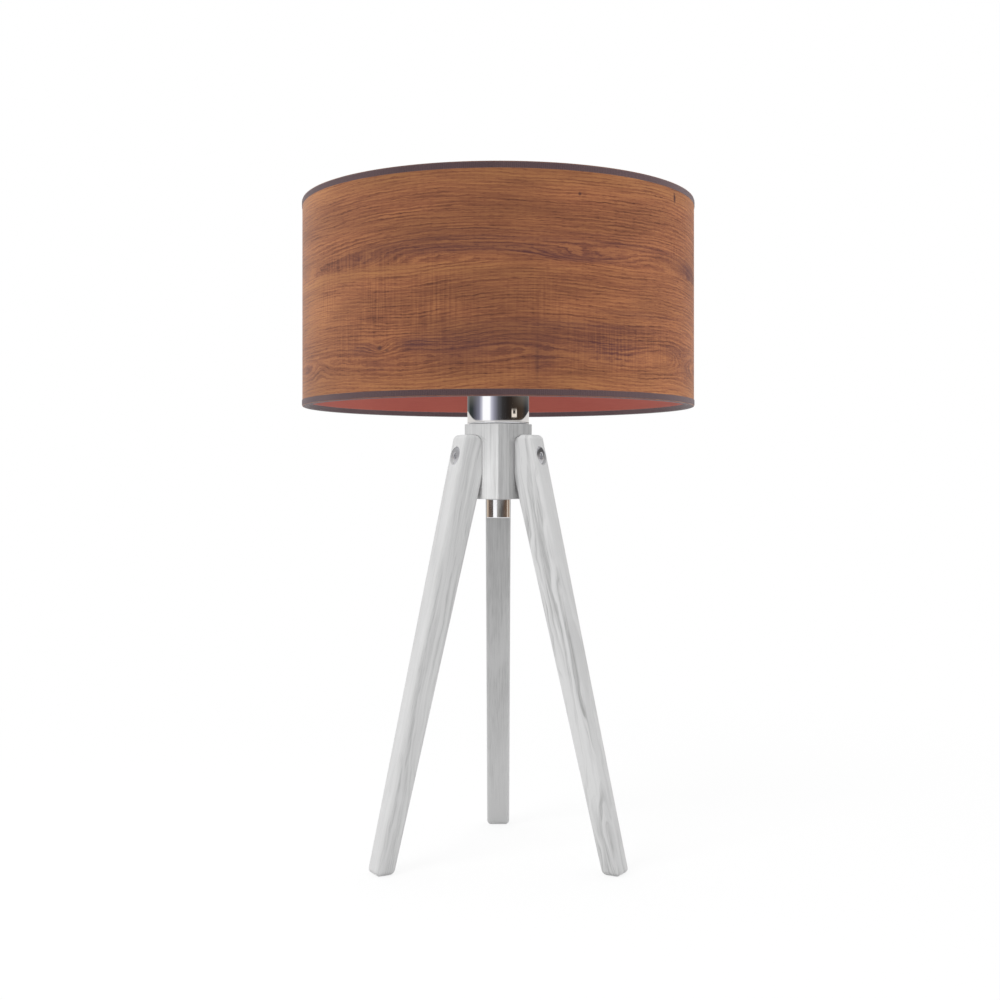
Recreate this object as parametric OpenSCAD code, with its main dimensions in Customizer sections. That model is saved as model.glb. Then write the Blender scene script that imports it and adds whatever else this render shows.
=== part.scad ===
// Tripod table lamp: three tapered wooden legs bolted to a hexagonal hub, a chrome cup with a
// lampholder on top of it, and a drum shade with a wood-print skin held by a three-armed spider.
// Origin: centre of the three feet on the surface that the lamp stands on. +Z is up, -Y is the front.

/* [Drum shade] */
// Outer diameter of the drum over its binding tape
shade_d = 300; // [240:1:400]
// Height of the drum over its binding tape
shade_h = 156; // [130:1:240]
// Height of the drum's lower edge above the surface
shade_z = 345; // [341:0.5:352]
// Thickness of the wood-print skin
skin_t = 0.7; // [0.4:0.1:1.5]
// Thickness of the copper-coloured lining
lining_t = 0.4; // [0.3:0.1:1]
// Thickness of the binding tape
tape_t = 0.4; // [0.3:0.1:0.8]
// Height of the binding tape up the drum's wall
tape_h = 4.8; // [4.5:0.1:12]
// Thickness of the wire in both end rings
ring_wire_d = 3; // [2:0.1:3.6]

/* [Spider] */
// Thickness of the wire in the spider's arms
arm_wire_d = 3; // [2:0.1:3]
// Bend radius of an arm, at its wire's centre
arm_bend_r = 8; // [5:0.5:14]
// Outer diameter of the fitter ring
fitter_d = 68; // [64:1:90]
// Diameter of the fitter ring's hole
fitter_hole_d = 41; // [40.2:0.1:44]
// Thickness of the fitter ring
fitter_t = 1.5; // [1:0.1:2.5]
// Length of each arm that lies on the fitter ring
arm_lap = 5; // [3:0.5:6]

/* [Hub] */
// Distance across the flats of the hexagonal hub
hub_af = 51; // [50:0.5:60]
// Height of the hub's top face above the surface
hub_z = 332; // [328:0.5:334]
// Height of the hub
hub_h = 57; // [50:0.5:66]
// Thickness of the whole hexagon above the leg seats
hub_cap_h = 8; // [6:0.5:12]
// Distance of each leg seat's flat from the hub's axis
seat_r = 19.5; // [18.5:0.1:20.5]
// Radius of the rounded corner at the top of each leg seat
seat_fillet = 7; // [4:0.5:8]

/* [Legs] */
// Distance of a leg's outer face from the axis, at the surface
leg_out_foot = 107; // [95:0.5:130]
// Distance of a leg's outer face from the axis, at the leg's top
leg_out_top = 34.3; // [32:0.1:38]
// Thickness of a leg at its foot, seen from the side
leg_depth_foot = 14.6; // [12:0.1:18]
// Thickness that a leg would have at its top without its seat cut
leg_depth_top = 23.7; // [21:0.1:26]
// Width of a leg at its foot
leg_w_foot = 18.5; // [16:0.5:22]
// Width of a leg at its top
leg_w_top = 20; // [18:0.5:24]
// Chamfer round a leg's foot
foot_chamfer = 2.2; // [0.5:0.1:3]
// Chamfer on the outer corner of a leg's top
top_chamfer = 2; // [0.5:0.1:4]

/* [Leg bolts] */
// Depth of the bolts' centre below the legs' top
bolt_drop = 16; // [13:0.5:22]
// Diameter of the counterbore for a bolt's head
counterbore_d = 14; // [13.5:0.1:15]
// Thickness of wood left under a washer
leg_clamp_t = 12.6; // [8:0.1:13]
// Diameter of a bolt's shank
bolt_d = 6; // [5:0.1:6]
// Diameter of a bolt's domed head
bolt_head_d = 12.8; // [10:0.1:13]
// Height of a bolt's domed head
bolt_head_h = 4.6; // [3.8:0.1:5]
// Height of the upright rim under the head's dome
bolt_rim_h = 2.8; // [1:0.1:3]
// Depth of the socket in a bolt's head
bolt_socket_depth = 2; // [1.5:0.1:3]
// Bevel round a bolt's tip
bolt_tip_bevel = 0.5; // [0.3:0.1:1]
// Width across the flats of the socket in a bolt's head
bolt_socket_af = 4; // [3:0.5:5]
// Diameter of a washer
washer_d = 13; // [12:0.1:13.2]
// Thickness of a washer
washer_t = 1.2; // [0.8:0.1:1.6]
// Outer diameter of a threaded insert
insert_d = 9; // [8:0.1:10]
// Length of a threaded insert
insert_l = 11; // [8:0.5:12]

/* [Nipple and outlet] */
// Outer diameter of the hollow threaded nipple
nipple_d = 10; // [9:0.5:10.5]
// Bore of the nipple that the lead passes through
nipple_bore_d = 7; // [6:0.1:7.5]
// Diameter of the chrome outlet sleeve under the hub
outlet_d = 17.6; // [16:0.1:20]
// Length of the outlet sleeve
outlet_h = 14.5; // [12:0.5:20]
// Bore at the lower end of the outlet sleeve
outlet_bore_d = 8; // [7:0.1:9]
// Length of the nipple inside the outlet sleeve
outlet_grip = 6.5; // [5:0.5:8]
// Thickness of the nut on the nipple
nut_h = 3; // [2.5:0.1:4]
// Width across the flats of the nut
nut_af = 17; // [14:0.5:19]

/* [Chrome cup] */
// Outer diameter of the cup
cup_d = 47.5; // [46:0.1:50]
// Height of the cup
cup_h = 44; // [43:0.1:45]
// Wall of the cup
cup_wall = 1; // [0.8:0.1:1.5]
// Radius round the cup's lower edge
cup_edge_r = 3; // [2:0.1:5]

/* [Lampholder] */
// Outer diameter of the holder's threaded skirt
skirt_d = 39.5; // [39:0.1:40]
// Wall of the threaded skirt
skirt_wall = 2; // [1.6:0.1:2.4]
// Height of the holder's lower cap above its entry boss
holder_cap_h = 14; // [12:0.5:16]
// Length of the holder's entry boss
boss_h = 7; // [6:0.5:8]
// Diameter of the holder's entry boss
boss_d = 15; // [14:0.5:17]
// Length of the threaded skirt
skirt_h = 34; // [31:0.5:38]
// Inner diameter of the brass screw shell
shell_d = 26.6; // [26.5:0.1:27]
// Wall of the brass screw shell
shell_wall = 0.5; // [0.4:0.1:0.8]
// Thickness of the ceramic terminal block
block_h = 8; // [7:0.5:9]

/* [Shade rings] */
// Outer diameter of both threaded rings
clamp_d = 54; // [52:0.5:56]
// Thickness of the lower threaded ring
lower_ring_h = 5; // [3.5:0.1:6]
// Thickness of the upper threaded ring
upper_ring_h = 4.5; // [3.5:0.1:5]
// Gap between the cup's rim and the lower ring
rim_gap = 0.3; // [0.2:0.1:1]

/* [Bulb] */
// Diameter of the bulb's glass
bulb_d = 60; // [45:1:62]
// Length of the bulb over all
bulb_l = 108; // [95:1:112]
// Diameter of the bulb's threaded cap
bulb_cap_d = 26; // [25.8:0.1:26.2]
// Height of the bulb's threaded cap
bulb_cap_h = 22; // [20:0.5:24]
// Wall of the glass
glass_t = 1; // [0.8:0.1:1.5]

/* [Hidden] */

$fn = 96;
// Overshoot that carries a cut past the face it leaves by
over = 1;
// Clearance of a glued, threaded or pressed piece in its seat
fit = 0.05;
// Clearance of a bolt or nipple in the hole it passes through
slip = 0.25;
// Gap between two pieces that are only held close
touch = 0.1;
// Number of flats in a rounded corner
corner_steps = 10;
// Directions of the three legs and spider arms, seen from above
ANGLE_LEFT = 210;
ANGLE_RIGHT = 330;
ANGLE_BACK = 90;
DIRECTIONS = [ANGLE_LEFT, ANGLE_RIGHT, ANGLE_BACK];

// Leg seats and legs
hub_floor_z = hub_z - hub_h;
seat_top_z = hub_z - hub_cap_h;
leg_top_z = seat_top_z - touch;
leg_seat_r = seat_r + touch;
leg_in_foot = leg_out_foot - leg_depth_foot;
leg_in_top = leg_out_top - leg_depth_top;
leg_in_slope = (leg_in_top - leg_in_foot) / leg_top_z;
// Height at which a leg's inner face leaves its upright seat cut
leg_seat_end_z = (leg_seat_r - leg_in_foot) / leg_in_slope;
leg_out_slope = (leg_out_top - leg_out_foot) / leg_top_z;
bolt_z = leg_top_z - bolt_drop;
washer_r = leg_seat_r + leg_clamp_t;
bolt_tip_r = seat_r - insert_l + over;
hub_reach = hub_af;

// Cup, holder and rings, from the hub upwards
cup_floor_z = hub_z + cup_wall;
nut_top_z = cup_floor_z + nut_h;
boss_z = nut_top_z + touch;
cap_z = boss_z + boss_h;
skirt_z = cap_z + holder_cap_h;
skirt_top_z = skirt_z + skirt_h;
cup_top_z = hub_z + cup_h;
lower_ring_z = cup_top_z + rim_gap;
fitter_z = lower_ring_z + lower_ring_h;
upper_ring_z = fitter_z + fitter_t;
ring_bore_d = skirt_d + 2 * fit;
skirt_inner_d = skirt_d - 2 * skirt_wall;
cap_wall = 2;
block_d = skirt_inner_d - 2 * touch;
// Height of the terminal block's shoulder inside the skirt
shoulder_h = 2;
shell_z = skirt_z + shoulder_h;
block_z = shell_z - block_h;
shell_h = 25;
nipple_top_z = cap_z - over;
nipple_bottom_z = hub_floor_z - outlet_grip;
outlet_z = hub_floor_z - outlet_h;
outlet_edge = 1;

// Bulb
contact_t = 1.2;
contact_w = 8;
contact_rise = 1.5;
bulb_tip_z = shell_z + contact_rise + contact_t + touch;
bulb_tip_h = 2;
bulb_tip_d = 9.4;
insulator_h = 3;
bulb_cap_z = bulb_tip_z + bulb_tip_h + insulator_h;
glass_z = bulb_cap_z + bulb_cap_h;
glass_top_z = bulb_tip_z + bulb_l;
glass_round_z = glass_top_z - bulb_d / 2;
neck_d = bulb_cap_d;
cap_metal_t = 0.5;
glass_steps = 14;
crown_steps = 12;

// Drum
shade_top_z = shade_z + shade_h;
shade_r = shade_d / 2;
skin_r = shade_r - tape_t;
lining_r = skin_r - skin_t;
clear_r = lining_r - lining_t;
ring_r = clear_r - fit - ring_wire_d / 2;
ring_bottom_z = shade_z + tape_t + fit + ring_wire_d / 2;
ring_top_z = shade_top_z - tape_t - fit - ring_wire_d / 2;
ring_inner_r = ring_r - ring_wire_d / 2 - fit;
ring_hug_h = tape_t + ring_wire_d + 2 * fit;
arm_z = upper_ring_z + arm_wire_d / 2;
arm_r = clear_r - fit - arm_wire_d / 2;
arm_inner_r = fitter_d / 2 - arm_lap;
arm_foot_z = ring_bottom_z + ring_wire_d / 2;

ASH = [0.86, 0.85, 0.83];
OAK = [0.62, 0.41, 0.28];
COPPER_LINING = [0.62, 0.32, 0.28];
TAPE = [0.45, 0.33, 0.34];
CHROME = [0.78, 0.78, 0.8];
STEEL = [0.62, 0.62, 0.62];
WHITE_WIRE = [0.9, 0.9, 0.9];
BRASS = [0.8, 0.65, 0.3];
CERAMIC = [0.93, 0.92, 0.88];
PLASTIC = [0.12, 0.12, 0.12];
OPAL = [0.95, 0.95, 0.93];

// Points of a quarter turn round c from angle a0 to a1, with radius r
function arc(c, r, a0, a1) = [for (i = [0:corner_steps])
    let (a = a0 + (a1 - a0) * i / corner_steps) [c[0] + r * cos(a), c[1] + r * sin(a)]];

// Stands a profile drawn as distance from the axis and height into the plane of a direction,
// with its thickness spread evenly to both sides
module upright(direction, width) {
    rotate([0, 0, direction]) rotate([90, 0, 0])
        linear_extrude(height = width, center = true) children();
}

// A cylinder along a direction, from one distance from the axis to another
module radial_cylinder(direction, from_r, to_r, z, d, sides = $fn) {
    rotate([0, 0, direction]) translate([from_r, 0, z]) rotate([0, 90, 0])
        cylinder(h = to_r - from_r, d = d, $fn = sides);
}

// A tube about the lamp's axis
module tube(z, h, outer_d, inner_d) {
    translate([0, 0, z]) difference() {
        cylinder(h = h, d = outer_d);
        translate([0, 0, -over]) cylinder(h = h + 2 * over, d = inner_d);
    }
}

// Profile of the seat that a leg fits in, cut out of one corner of the hexagon
module seat_profile() {
    polygon(concat(
        [[hub_reach, hub_floor_z - over], [hub_reach, seat_top_z]],
        arc([seat_r + seat_fillet, seat_top_z - seat_fillet], seat_fillet, 90, 180),
        [[seat_r, hub_floor_z - over]]));
}

module hub() {
    color(ASH) difference() {
        rotate([0, 0, 30]) translate([0, 0, hub_floor_z])
            cylinder(h = hub_h, d = hub_af / cos(30), $fn = 6);
        for (direction = DIRECTIONS) {
            upright(direction, 2 * hub_af) seat_profile();
            radial_cylinder(direction, seat_r - insert_l - fit, seat_r + over, bolt_z, insert_d + 2 * fit);
        }
        translate([0, 0, hub_floor_z - over])
            cylinder(h = hub_h + 2 * over, d = nipple_d + 2 * slip);
    }
}

// Side of a leg: distance from the axis against height
module leg_side() {
    foot_out_r = leg_out_foot + leg_out_slope * foot_chamfer;
    foot_in_r = leg_in_foot + leg_in_slope * foot_chamfer;
    polygon(concat(
        [[leg_in_foot + foot_chamfer, 0], [leg_out_foot - foot_chamfer, 0], [foot_out_r, foot_chamfer],
         [leg_out_top - leg_out_slope * top_chamfer, leg_top_z - top_chamfer],
         [leg_out_top - top_chamfer, leg_top_z]],
        arc([leg_seat_r + seat_fillet, leg_top_z - seat_fillet], seat_fillet, 90, 180),
        [[leg_seat_r, leg_seat_end_z], [foot_in_r, foot_chamfer]]));
}

// Front of a leg: width against height
module leg_front() {
    half_foot = leg_w_foot / 2;
    half_top = leg_w_top / 2;
    half_chamfer = half_foot + (half_top - half_foot) * foot_chamfer / leg_top_z;
    polygon([[-half_foot + foot_chamfer, 0], [half_foot - foot_chamfer, 0], [half_chamfer, foot_chamfer],
             [half_top, leg_top_z], [-half_top, leg_top_z], [-half_chamfer, foot_chamfer]]);
}

module leg(direction) {
    color(ASH) difference() {
        intersection() {
            upright(direction, 2 * leg_w_top) leg_side();
            rotate([0, 0, direction]) rotate([90, 0, 90])
                linear_extrude(height = leg_out_foot + over) leg_front();
        }
        radial_cylinder(direction, seat_r - over, leg_out_foot, bolt_z, bolt_d + 2 * slip);
        radial_cylinder(direction, washer_r, leg_out_foot, bolt_z, counterbore_d);
    }
}

module leg_left() { leg(ANGLE_LEFT); }
module leg_right() { leg(ANGLE_RIGHT); }
module leg_back() { leg(ANGLE_BACK); }

// One bolt with a domed head and a hexagonal socket, along +Z from under its head
module bolt() {
    head_r = bolt_head_d / 2;
    shank_r = bolt_d / 2;
    dome_h = bolt_head_h - bolt_rim_h;
    shank_l = washer_r + washer_t - bolt_tip_r;
    difference() {
        rotate_extrude() polygon(concat(
            [[0, -shank_l], [shank_r - bolt_tip_bevel, -shank_l], [shank_r, -shank_l + bolt_tip_bevel],
             [shank_r, 0], [head_r, 0]],
            [for (i = [0:corner_steps - 1]) let (a = 90 * i / corner_steps)
                [head_r * cos(a), bolt_rim_h + dome_h * sin(a)]],
            [[0, bolt_head_h]]));
        translate([0, 0, bolt_head_h - bolt_socket_depth])
            cylinder(h = bolt_socket_depth + over, d = bolt_socket_af / cos(30), $fn = 6);
    }
}

module leg_bolts() {
    color(CHROME) for (direction = DIRECTIONS)
        rotate([0, 0, direction]) translate([washer_r + washer_t, 0, bolt_z]) rotate([0, 90, 0]) bolt();
}

module bolt_washers() {
    color(CHROME) for (direction = DIRECTIONS) difference() {
        radial_cylinder(direction, washer_r, washer_r + washer_t, bolt_z, washer_d);
        radial_cylinder(direction, washer_r - over, washer_r + washer_t + over, bolt_z, bolt_d + 2 * slip);
    }
}

module threaded_inserts() {
    color(BRASS) for (direction = DIRECTIONS) difference() {
        radial_cylinder(direction, seat_r - insert_l, seat_r, bolt_z, insert_d);
        radial_cylinder(direction, seat_r - insert_l - over, seat_r + over, bolt_z, bolt_d + 2 * fit);
    }
}

module nipple() {
    color(STEEL) tube(nipple_bottom_z, nipple_top_z - nipple_bottom_z, nipple_d, nipple_bore_d);
}

// Sleeve that screws onto the nipple's lower end, where the lead comes out
module outlet_sleeve() {
    outer_r = outlet_d / 2;
    thread_r = nipple_d / 2 + fit;
    bore_r = outlet_bore_d / 2;
    color(CHROME) rotate_extrude() polygon([
        [bore_r, outlet_z], [outer_r - outlet_edge, outlet_z], [outer_r, outlet_z + outlet_edge],
        [outer_r, hub_floor_z], [thread_r, hub_floor_z], [thread_r, nipple_bottom_z - touch],
        [bore_r, nipple_bottom_z - touch]]);
}

module chrome_cup() {
    outer_r = cup_d / 2;
    inner_r = outer_r - cup_wall;
    hole_r = nipple_d / 2 + slip;
    inner_edge_r = cup_edge_r - cup_wall;
    color(CHROME) rotate_extrude() polygon(concat(
        [[hole_r, hub_z]],
        arc([outer_r - cup_edge_r, hub_z + cup_edge_r], cup_edge_r, -90, 0),
        [[outer_r, cup_top_z], [inner_r, cup_top_z]],
        arc([inner_r - inner_edge_r, cup_floor_z + inner_edge_r], inner_edge_r, 0, -90),
        [[hole_r, cup_floor_z]]));
}

module nipple_nut() {
    color(STEEL) translate([0, 0, cup_floor_z]) difference() {
        cylinder(h = nut_h, d = nut_af / cos(30), $fn = 6);
        translate([0, 0, -over]) cylinder(h = nut_h + 2 * over, d = nipple_d + 2 * fit);
    }
}

// Lower cap of the holder: an entry boss that screws onto the nipple, under a shallow bowl
module holder_cap() {
    outer_r = skirt_d / 2 - touch;
    inner_r = outer_r - cap_wall;
    thread_r = nipple_d / 2 + fit;
    slope_h = 4;
    color(PLASTIC) rotate_extrude() polygon([
        [thread_r, boss_z], [boss_d / 2, boss_z], [boss_d / 2, cap_z - slope_h / 2],
        [outer_r - slope_h, cap_z - slope_h / 2], [outer_r, cap_z + slope_h / 2],
        [outer_r, skirt_z - touch], [inner_r, skirt_z - touch], [inner_r, cap_z + slope_h / 2],
        [inner_r - slope_h / 2, cap_z], [thread_r, cap_z]]);
}

module holder_skirt() {
    color(PLASTIC) tube(skirt_z, skirt_h, skirt_d, skirt_inner_d);
}

// Two threaded holes in the block, one to each side of the contact
module at_terminals() {
    terminal_r = 10;
    for (side = [-1, 1]) translate([side * terminal_r, 0, block_z]) children();
}

module terminal_block() {
    terminal_hole_d = 3.2;
    color(CERAMIC) difference() {
        union() {
            translate([0, 0, skirt_z + touch]) cylinder(h = shell_z - skirt_z - touch, d = block_d);
            translate([0, 0, block_z]) cylinder(h = block_h, d = block_d - 2 * cap_wall);
        }
        at_terminals() translate([0, 0, -over]) cylinder(h = block_h + 2 * over, d = terminal_hole_d);
    }
}

// Brass shell with a floor that stands on the terminal block round the centre contact
module screw_shell() {
    outer_r = shell_d / 2 + shell_wall;
    contact_gap = 2;
    floor_hole_r = contact_w / 2 + contact_gap;
    color(BRASS) rotate_extrude() polygon([
        [floor_hole_r, shell_z], [outer_r, shell_z], [outer_r, shell_z + shell_h],
        [outer_r - shell_wall, shell_z + shell_h], [outer_r - shell_wall, shell_z + shell_wall],
        [floor_hole_r, shell_z + shell_wall]]);
}

// Sprung tongue that the bulb's tip presses on
module centre_contact() {
    half = contact_w / 2;
    color(BRASS) translate([0, half, 0]) rotate([90, 0, 0]) linear_extrude(height = contact_w)
        polygon([
            [-half, shell_z], [half / 2, shell_z], [half / 2, shell_z + contact_t / 2],
            [-half + contact_t, shell_z + contact_t / 2], [-half + contact_t, shell_z + contact_rise],
            [half, shell_z + contact_rise], [half, shell_z + contact_rise + contact_t],
            [-half, shell_z + contact_rise + contact_t]]);
}

module terminal_screws() {
    screw_d = 3.1;
    head_d = 5;
    head_h = 1.8;
    color(BRASS) at_terminals() {
        cylinder(h = block_h - over, d = screw_d);
        translate([0, 0, -head_h]) cylinder(h = head_h, d = head_d);
    }
}

module lower_ring() {
    color(PLASTIC) tube(lower_ring_z, lower_ring_h, clamp_d, ring_bore_d);
}

module upper_ring() {
    color(PLASTIC) tube(upper_ring_z, upper_ring_h, clamp_d, ring_bore_d + 2 * fit);
}

module shade_skin() {
    color(OAK) tube(shade_z + tape_t, shade_h - 2 * tape_t, 2 * skin_r, 2 * lining_r);
}

module shade_lining() {
    color(COPPER_LINING) tube(shade_z + tape_t, shade_h - 2 * tape_t, 2 * lining_r, 2 * clear_r);
}

// Tape folded over one edge of the drum and round the wire ring, as seen at the lower edge
module tape_profile() {
    inner_r = ring_inner_r - tape_t;
    difference() {
        polygon([
            [inner_r, tape_t], [inner_r + tape_t, 0], [shade_r - tape_t, 0], [shade_r, tape_t],
            [shade_r, tape_h], [clear_r - tape_t, tape_h], [inner_r, ring_hug_h]]);
        polygon([
            [ring_inner_r, tape_t], [skin_r, tape_t], [skin_r, tape_h + over], [clear_r, tape_h + over],
            [clear_r, tape_h - tape_t / 2], [ring_inner_r, ring_hug_h]]);
    }
}

// The lower tape is notched where the spider's arms stand on the ring inside it
module tape_bottom() {
    notch_gap = 0.5;
    notch_w = arm_wire_d + 2 * notch_gap;
    color(TAPE) difference() {
        translate([0, 0, shade_z]) rotate_extrude() tape_profile();
        for (direction = DIRECTIONS) rotate([0, 0, direction])
            translate([ring_inner_r - tape_t - over, -notch_w / 2, arm_foot_z - touch])
                cube([lining_r - ring_inner_r + tape_t + over, notch_w, tape_h]);
    }
}

module tape_top() {
    color(TAPE) translate([0, 0, shade_top_z]) mirror([0, 0, 1]) rotate_extrude() tape_profile();
}

module wire_ring(z) {
    color(WHITE_WIRE) translate([0, 0, z]) rotate_extrude() translate([ring_r, 0, 0])
        circle(d = ring_wire_d, $fn = 32);
}

module ring_bottom() { wire_ring(ring_bottom_z); }
module ring_top() { wire_ring(ring_top_z); }

// Arm of the spider: it stands on the lower ring, bends inwards and ends on the fitter ring
module spider_arm(direction) {
    bend_centre_r = arm_r - arm_bend_r;
    bend_z = arm_z - arm_bend_r;
    color(WHITE_WIRE) {
        radial_cylinder(direction, arm_inner_r, bend_centre_r, arm_z, arm_wire_d, 32);
        rotate([0, 0, direction]) translate([bend_centre_r, 0, bend_z]) rotate([90, 0, 0])
            rotate_extrude(angle = 90) translate([arm_bend_r, 0, 0]) circle(d = arm_wire_d, $fn = 32);
        rotate([0, 0, direction]) translate([arm_r, 0, arm_foot_z])
            cylinder(h = bend_z - arm_foot_z, d = arm_wire_d, $fn = 32);
    }
}

module spider_arm_left() { spider_arm(ANGLE_LEFT); }
module spider_arm_right() { spider_arm(ANGLE_RIGHT); }
module spider_arm_back() { spider_arm(ANGLE_BACK); }

module fitter_ring() {
    color(WHITE_WIRE) tube(fitter_z, fitter_t, fitter_d, fitter_hole_d);
}

// Glass outline, inset by the wall where asked: a neck that swells along a half cosine to a round crown
function glass_points(inset) = concat(
    [for (i = [0:glass_steps]) let (t = i / glass_steps)
        [neck_d / 2 + (bulb_d - neck_d) / 4 * (1 - cos(180 * t)) - inset,
         glass_z + (glass_round_z - glass_z) * t]],
    [for (i = [1:crown_steps - 1]) let (a = 90 * i / crown_steps)
        [(bulb_d / 2 - inset) * cos(a), glass_round_z + (bulb_d / 2 - inset) * sin(a)]]);

function reversed(points) = [for (i = [len(points) - 1:-1:0]) points[i]];

module bulb_glass() {
    color(OPAL) rotate_extrude() polygon(concat(
        glass_points(0), [[0, glass_top_z], [0, glass_top_z - glass_t]], reversed(glass_points(glass_t))));
}

module bulb_cap() {
    outer_r = bulb_cap_d / 2;
    lip_w = 2;
    color(CHROME) rotate_extrude() polygon([
        [outer_r - insulator_h - lip_w, bulb_cap_z], [outer_r - insulator_h, bulb_cap_z],
        [outer_r, bulb_cap_z + insulator_h], [outer_r, glass_z], [outer_r - cap_metal_t, glass_z],
        [outer_r - cap_metal_t, bulb_cap_z + insulator_h + cap_metal_t],
        [outer_r - insulator_h, bulb_cap_z + cap_metal_t],
        [outer_r - insulator_h - lip_w, bulb_cap_z + cap_metal_t]]);
}

module bulb_insulator() {
    color(PLASTIC) translate([0, 0, bulb_tip_z + bulb_tip_h])
        cylinder(h = insulator_h, d1 = bulb_tip_d, d2 = bulb_cap_d - 2 * insulator_h);
}

module bulb_contact() {
    color(BRASS) translate([0, 0, bulb_tip_z]) cylinder(h = bulb_tip_h, d = bulb_tip_d);
}

hub();
leg_left();
leg_right();
leg_back();
leg_bolts();
bolt_washers();
threaded_inserts();
nipple();
outlet_sleeve();
chrome_cup();
nipple_nut();
holder_cap();
holder_skirt();
terminal_block();
screw_shell();
centre_contact();
terminal_screws();
lower_ring();
upper_ring();
shade_skin();
shade_lining();
tape_bottom();
tape_top();
ring_bottom();
ring_top();
spider_arm_left();
spider_arm_right();
spider_arm_back();
fitter_ring();
bulb_glass();
bulb_cap();
bulb_insulator();
bulb_contact();
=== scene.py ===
"""Tripod table lamp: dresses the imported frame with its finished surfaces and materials.

All lengths are metres in the frame's axes: +Z up, -Y the front, the origin on the table between the feet.
"""
import math

import bmesh
import bpy
import numpy as np
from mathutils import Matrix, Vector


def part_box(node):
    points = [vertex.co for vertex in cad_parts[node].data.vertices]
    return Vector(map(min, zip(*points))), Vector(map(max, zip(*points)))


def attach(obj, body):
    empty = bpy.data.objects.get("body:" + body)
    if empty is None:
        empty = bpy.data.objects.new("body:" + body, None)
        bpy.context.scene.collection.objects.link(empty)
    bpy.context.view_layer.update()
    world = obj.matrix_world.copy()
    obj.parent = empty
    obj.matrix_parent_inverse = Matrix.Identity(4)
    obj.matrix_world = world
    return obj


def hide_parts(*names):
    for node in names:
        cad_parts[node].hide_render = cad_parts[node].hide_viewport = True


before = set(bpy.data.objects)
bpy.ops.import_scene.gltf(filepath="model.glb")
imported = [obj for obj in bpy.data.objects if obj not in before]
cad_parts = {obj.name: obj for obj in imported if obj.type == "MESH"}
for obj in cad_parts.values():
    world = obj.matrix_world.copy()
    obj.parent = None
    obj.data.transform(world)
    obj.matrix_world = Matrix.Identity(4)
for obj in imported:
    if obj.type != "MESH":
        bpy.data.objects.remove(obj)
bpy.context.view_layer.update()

bl_info = {
    "name": "Tripod table lamp",
    "version": (1, 0, 0),
    "blender": (4, 5, 0),
    "location": "View3D > Sidebar > Lamp",
    "description": "Builds the finished surfaces of a tripod table lamp with a drum shade",
    "category": "Object",
}

MM = 0.001
# Lengths below this one, in metres, are nought but for rounding
NEAR = 1e-9
# Least angle between faces, in radians, at which a copied solid's edge counts as sharp
CREASE = 0.5
# Width and height in pixels of the picture that the camera's settings are given for
PICTURE = 1000
UP = np.array([0.0, 0.0, 1.0])
# Directions of the three legs and spider arms, seen from above
LEFT, RIGHT, BACK = (math.radians(a) for a in (210, 330, 90))
DIRECTIONS = (LEFT, RIGHT, BACK)


# ---------------------------------------------------------------- colours and places

def linear(code):
    """Linear RGB of an sRGB hex colour such as #96674A."""
    channels = [int(code[i:i + 2], 16) / 255 for i in (1, 3, 5)]
    return tuple(c / 12.92 if c <= 0.04045 else ((c + 0.055) / 1.055) ** 2.4 for c in channels)


def rgba(colour):
    """A grey level, a triple or a colour property with full alpha, as a socket takes it."""
    return (*((colour,) * 3 if isinstance(colour, float) else tuple(colour)), 1.0)


def vectors(items, key):
    """A vector of every item in one of a mesh's lists, as an array of rows x, y, z."""
    flat = np.empty(len(items) * 3)
    items.foreach_get(key, flat)
    return flat.reshape(-1, 3)


def points_of(node):
    """Corners of a CAD node's mesh as an array of rows x, y, z."""
    return vectors(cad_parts[node].data.vertices, "co")


def reach(node):
    """Least and greatest distance from the lamp's axis, and lowest and highest point, of a CAD node."""
    points = points_of(node)
    distance = np.hypot(points[:, 0], points[:, 1])
    return distance.min(), distance.max(), points[:, 2].min(), points[:, 2].max()


def leg_frame(direction):
    """Directions out along a leg's side of the hub and across it, as level unit vectors."""
    return (np.array([math.cos(direction), math.sin(direction), 0.0]),
            np.array([-math.sin(direction), math.cos(direction), 0.0]))


# ---------------------------------------------------------------- outlines

def arc(distance, height, radius, turn):
    """Points of a circle about a distance and a height, at each angle of turn."""
    return np.stack([distance + radius * np.cos(turn), height + radius * np.sin(turn)], -1)


def upright(distance, heights):
    """Points of an upright line: one distance at several heights."""
    return np.stack([np.full_like(heights, distance), heights], -1)


def level(distances, height):
    """Points of a level line: one height at several distances."""
    return np.stack([distances, np.full_like(distances, height)], -1)


def stood(outline, direction):
    """Points of an outline of distance and height, stood in the upright plane of a direction."""
    distance, height = outline.T
    return np.stack([distance * math.cos(direction), distance * math.sin(direction), height], -1)


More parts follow.
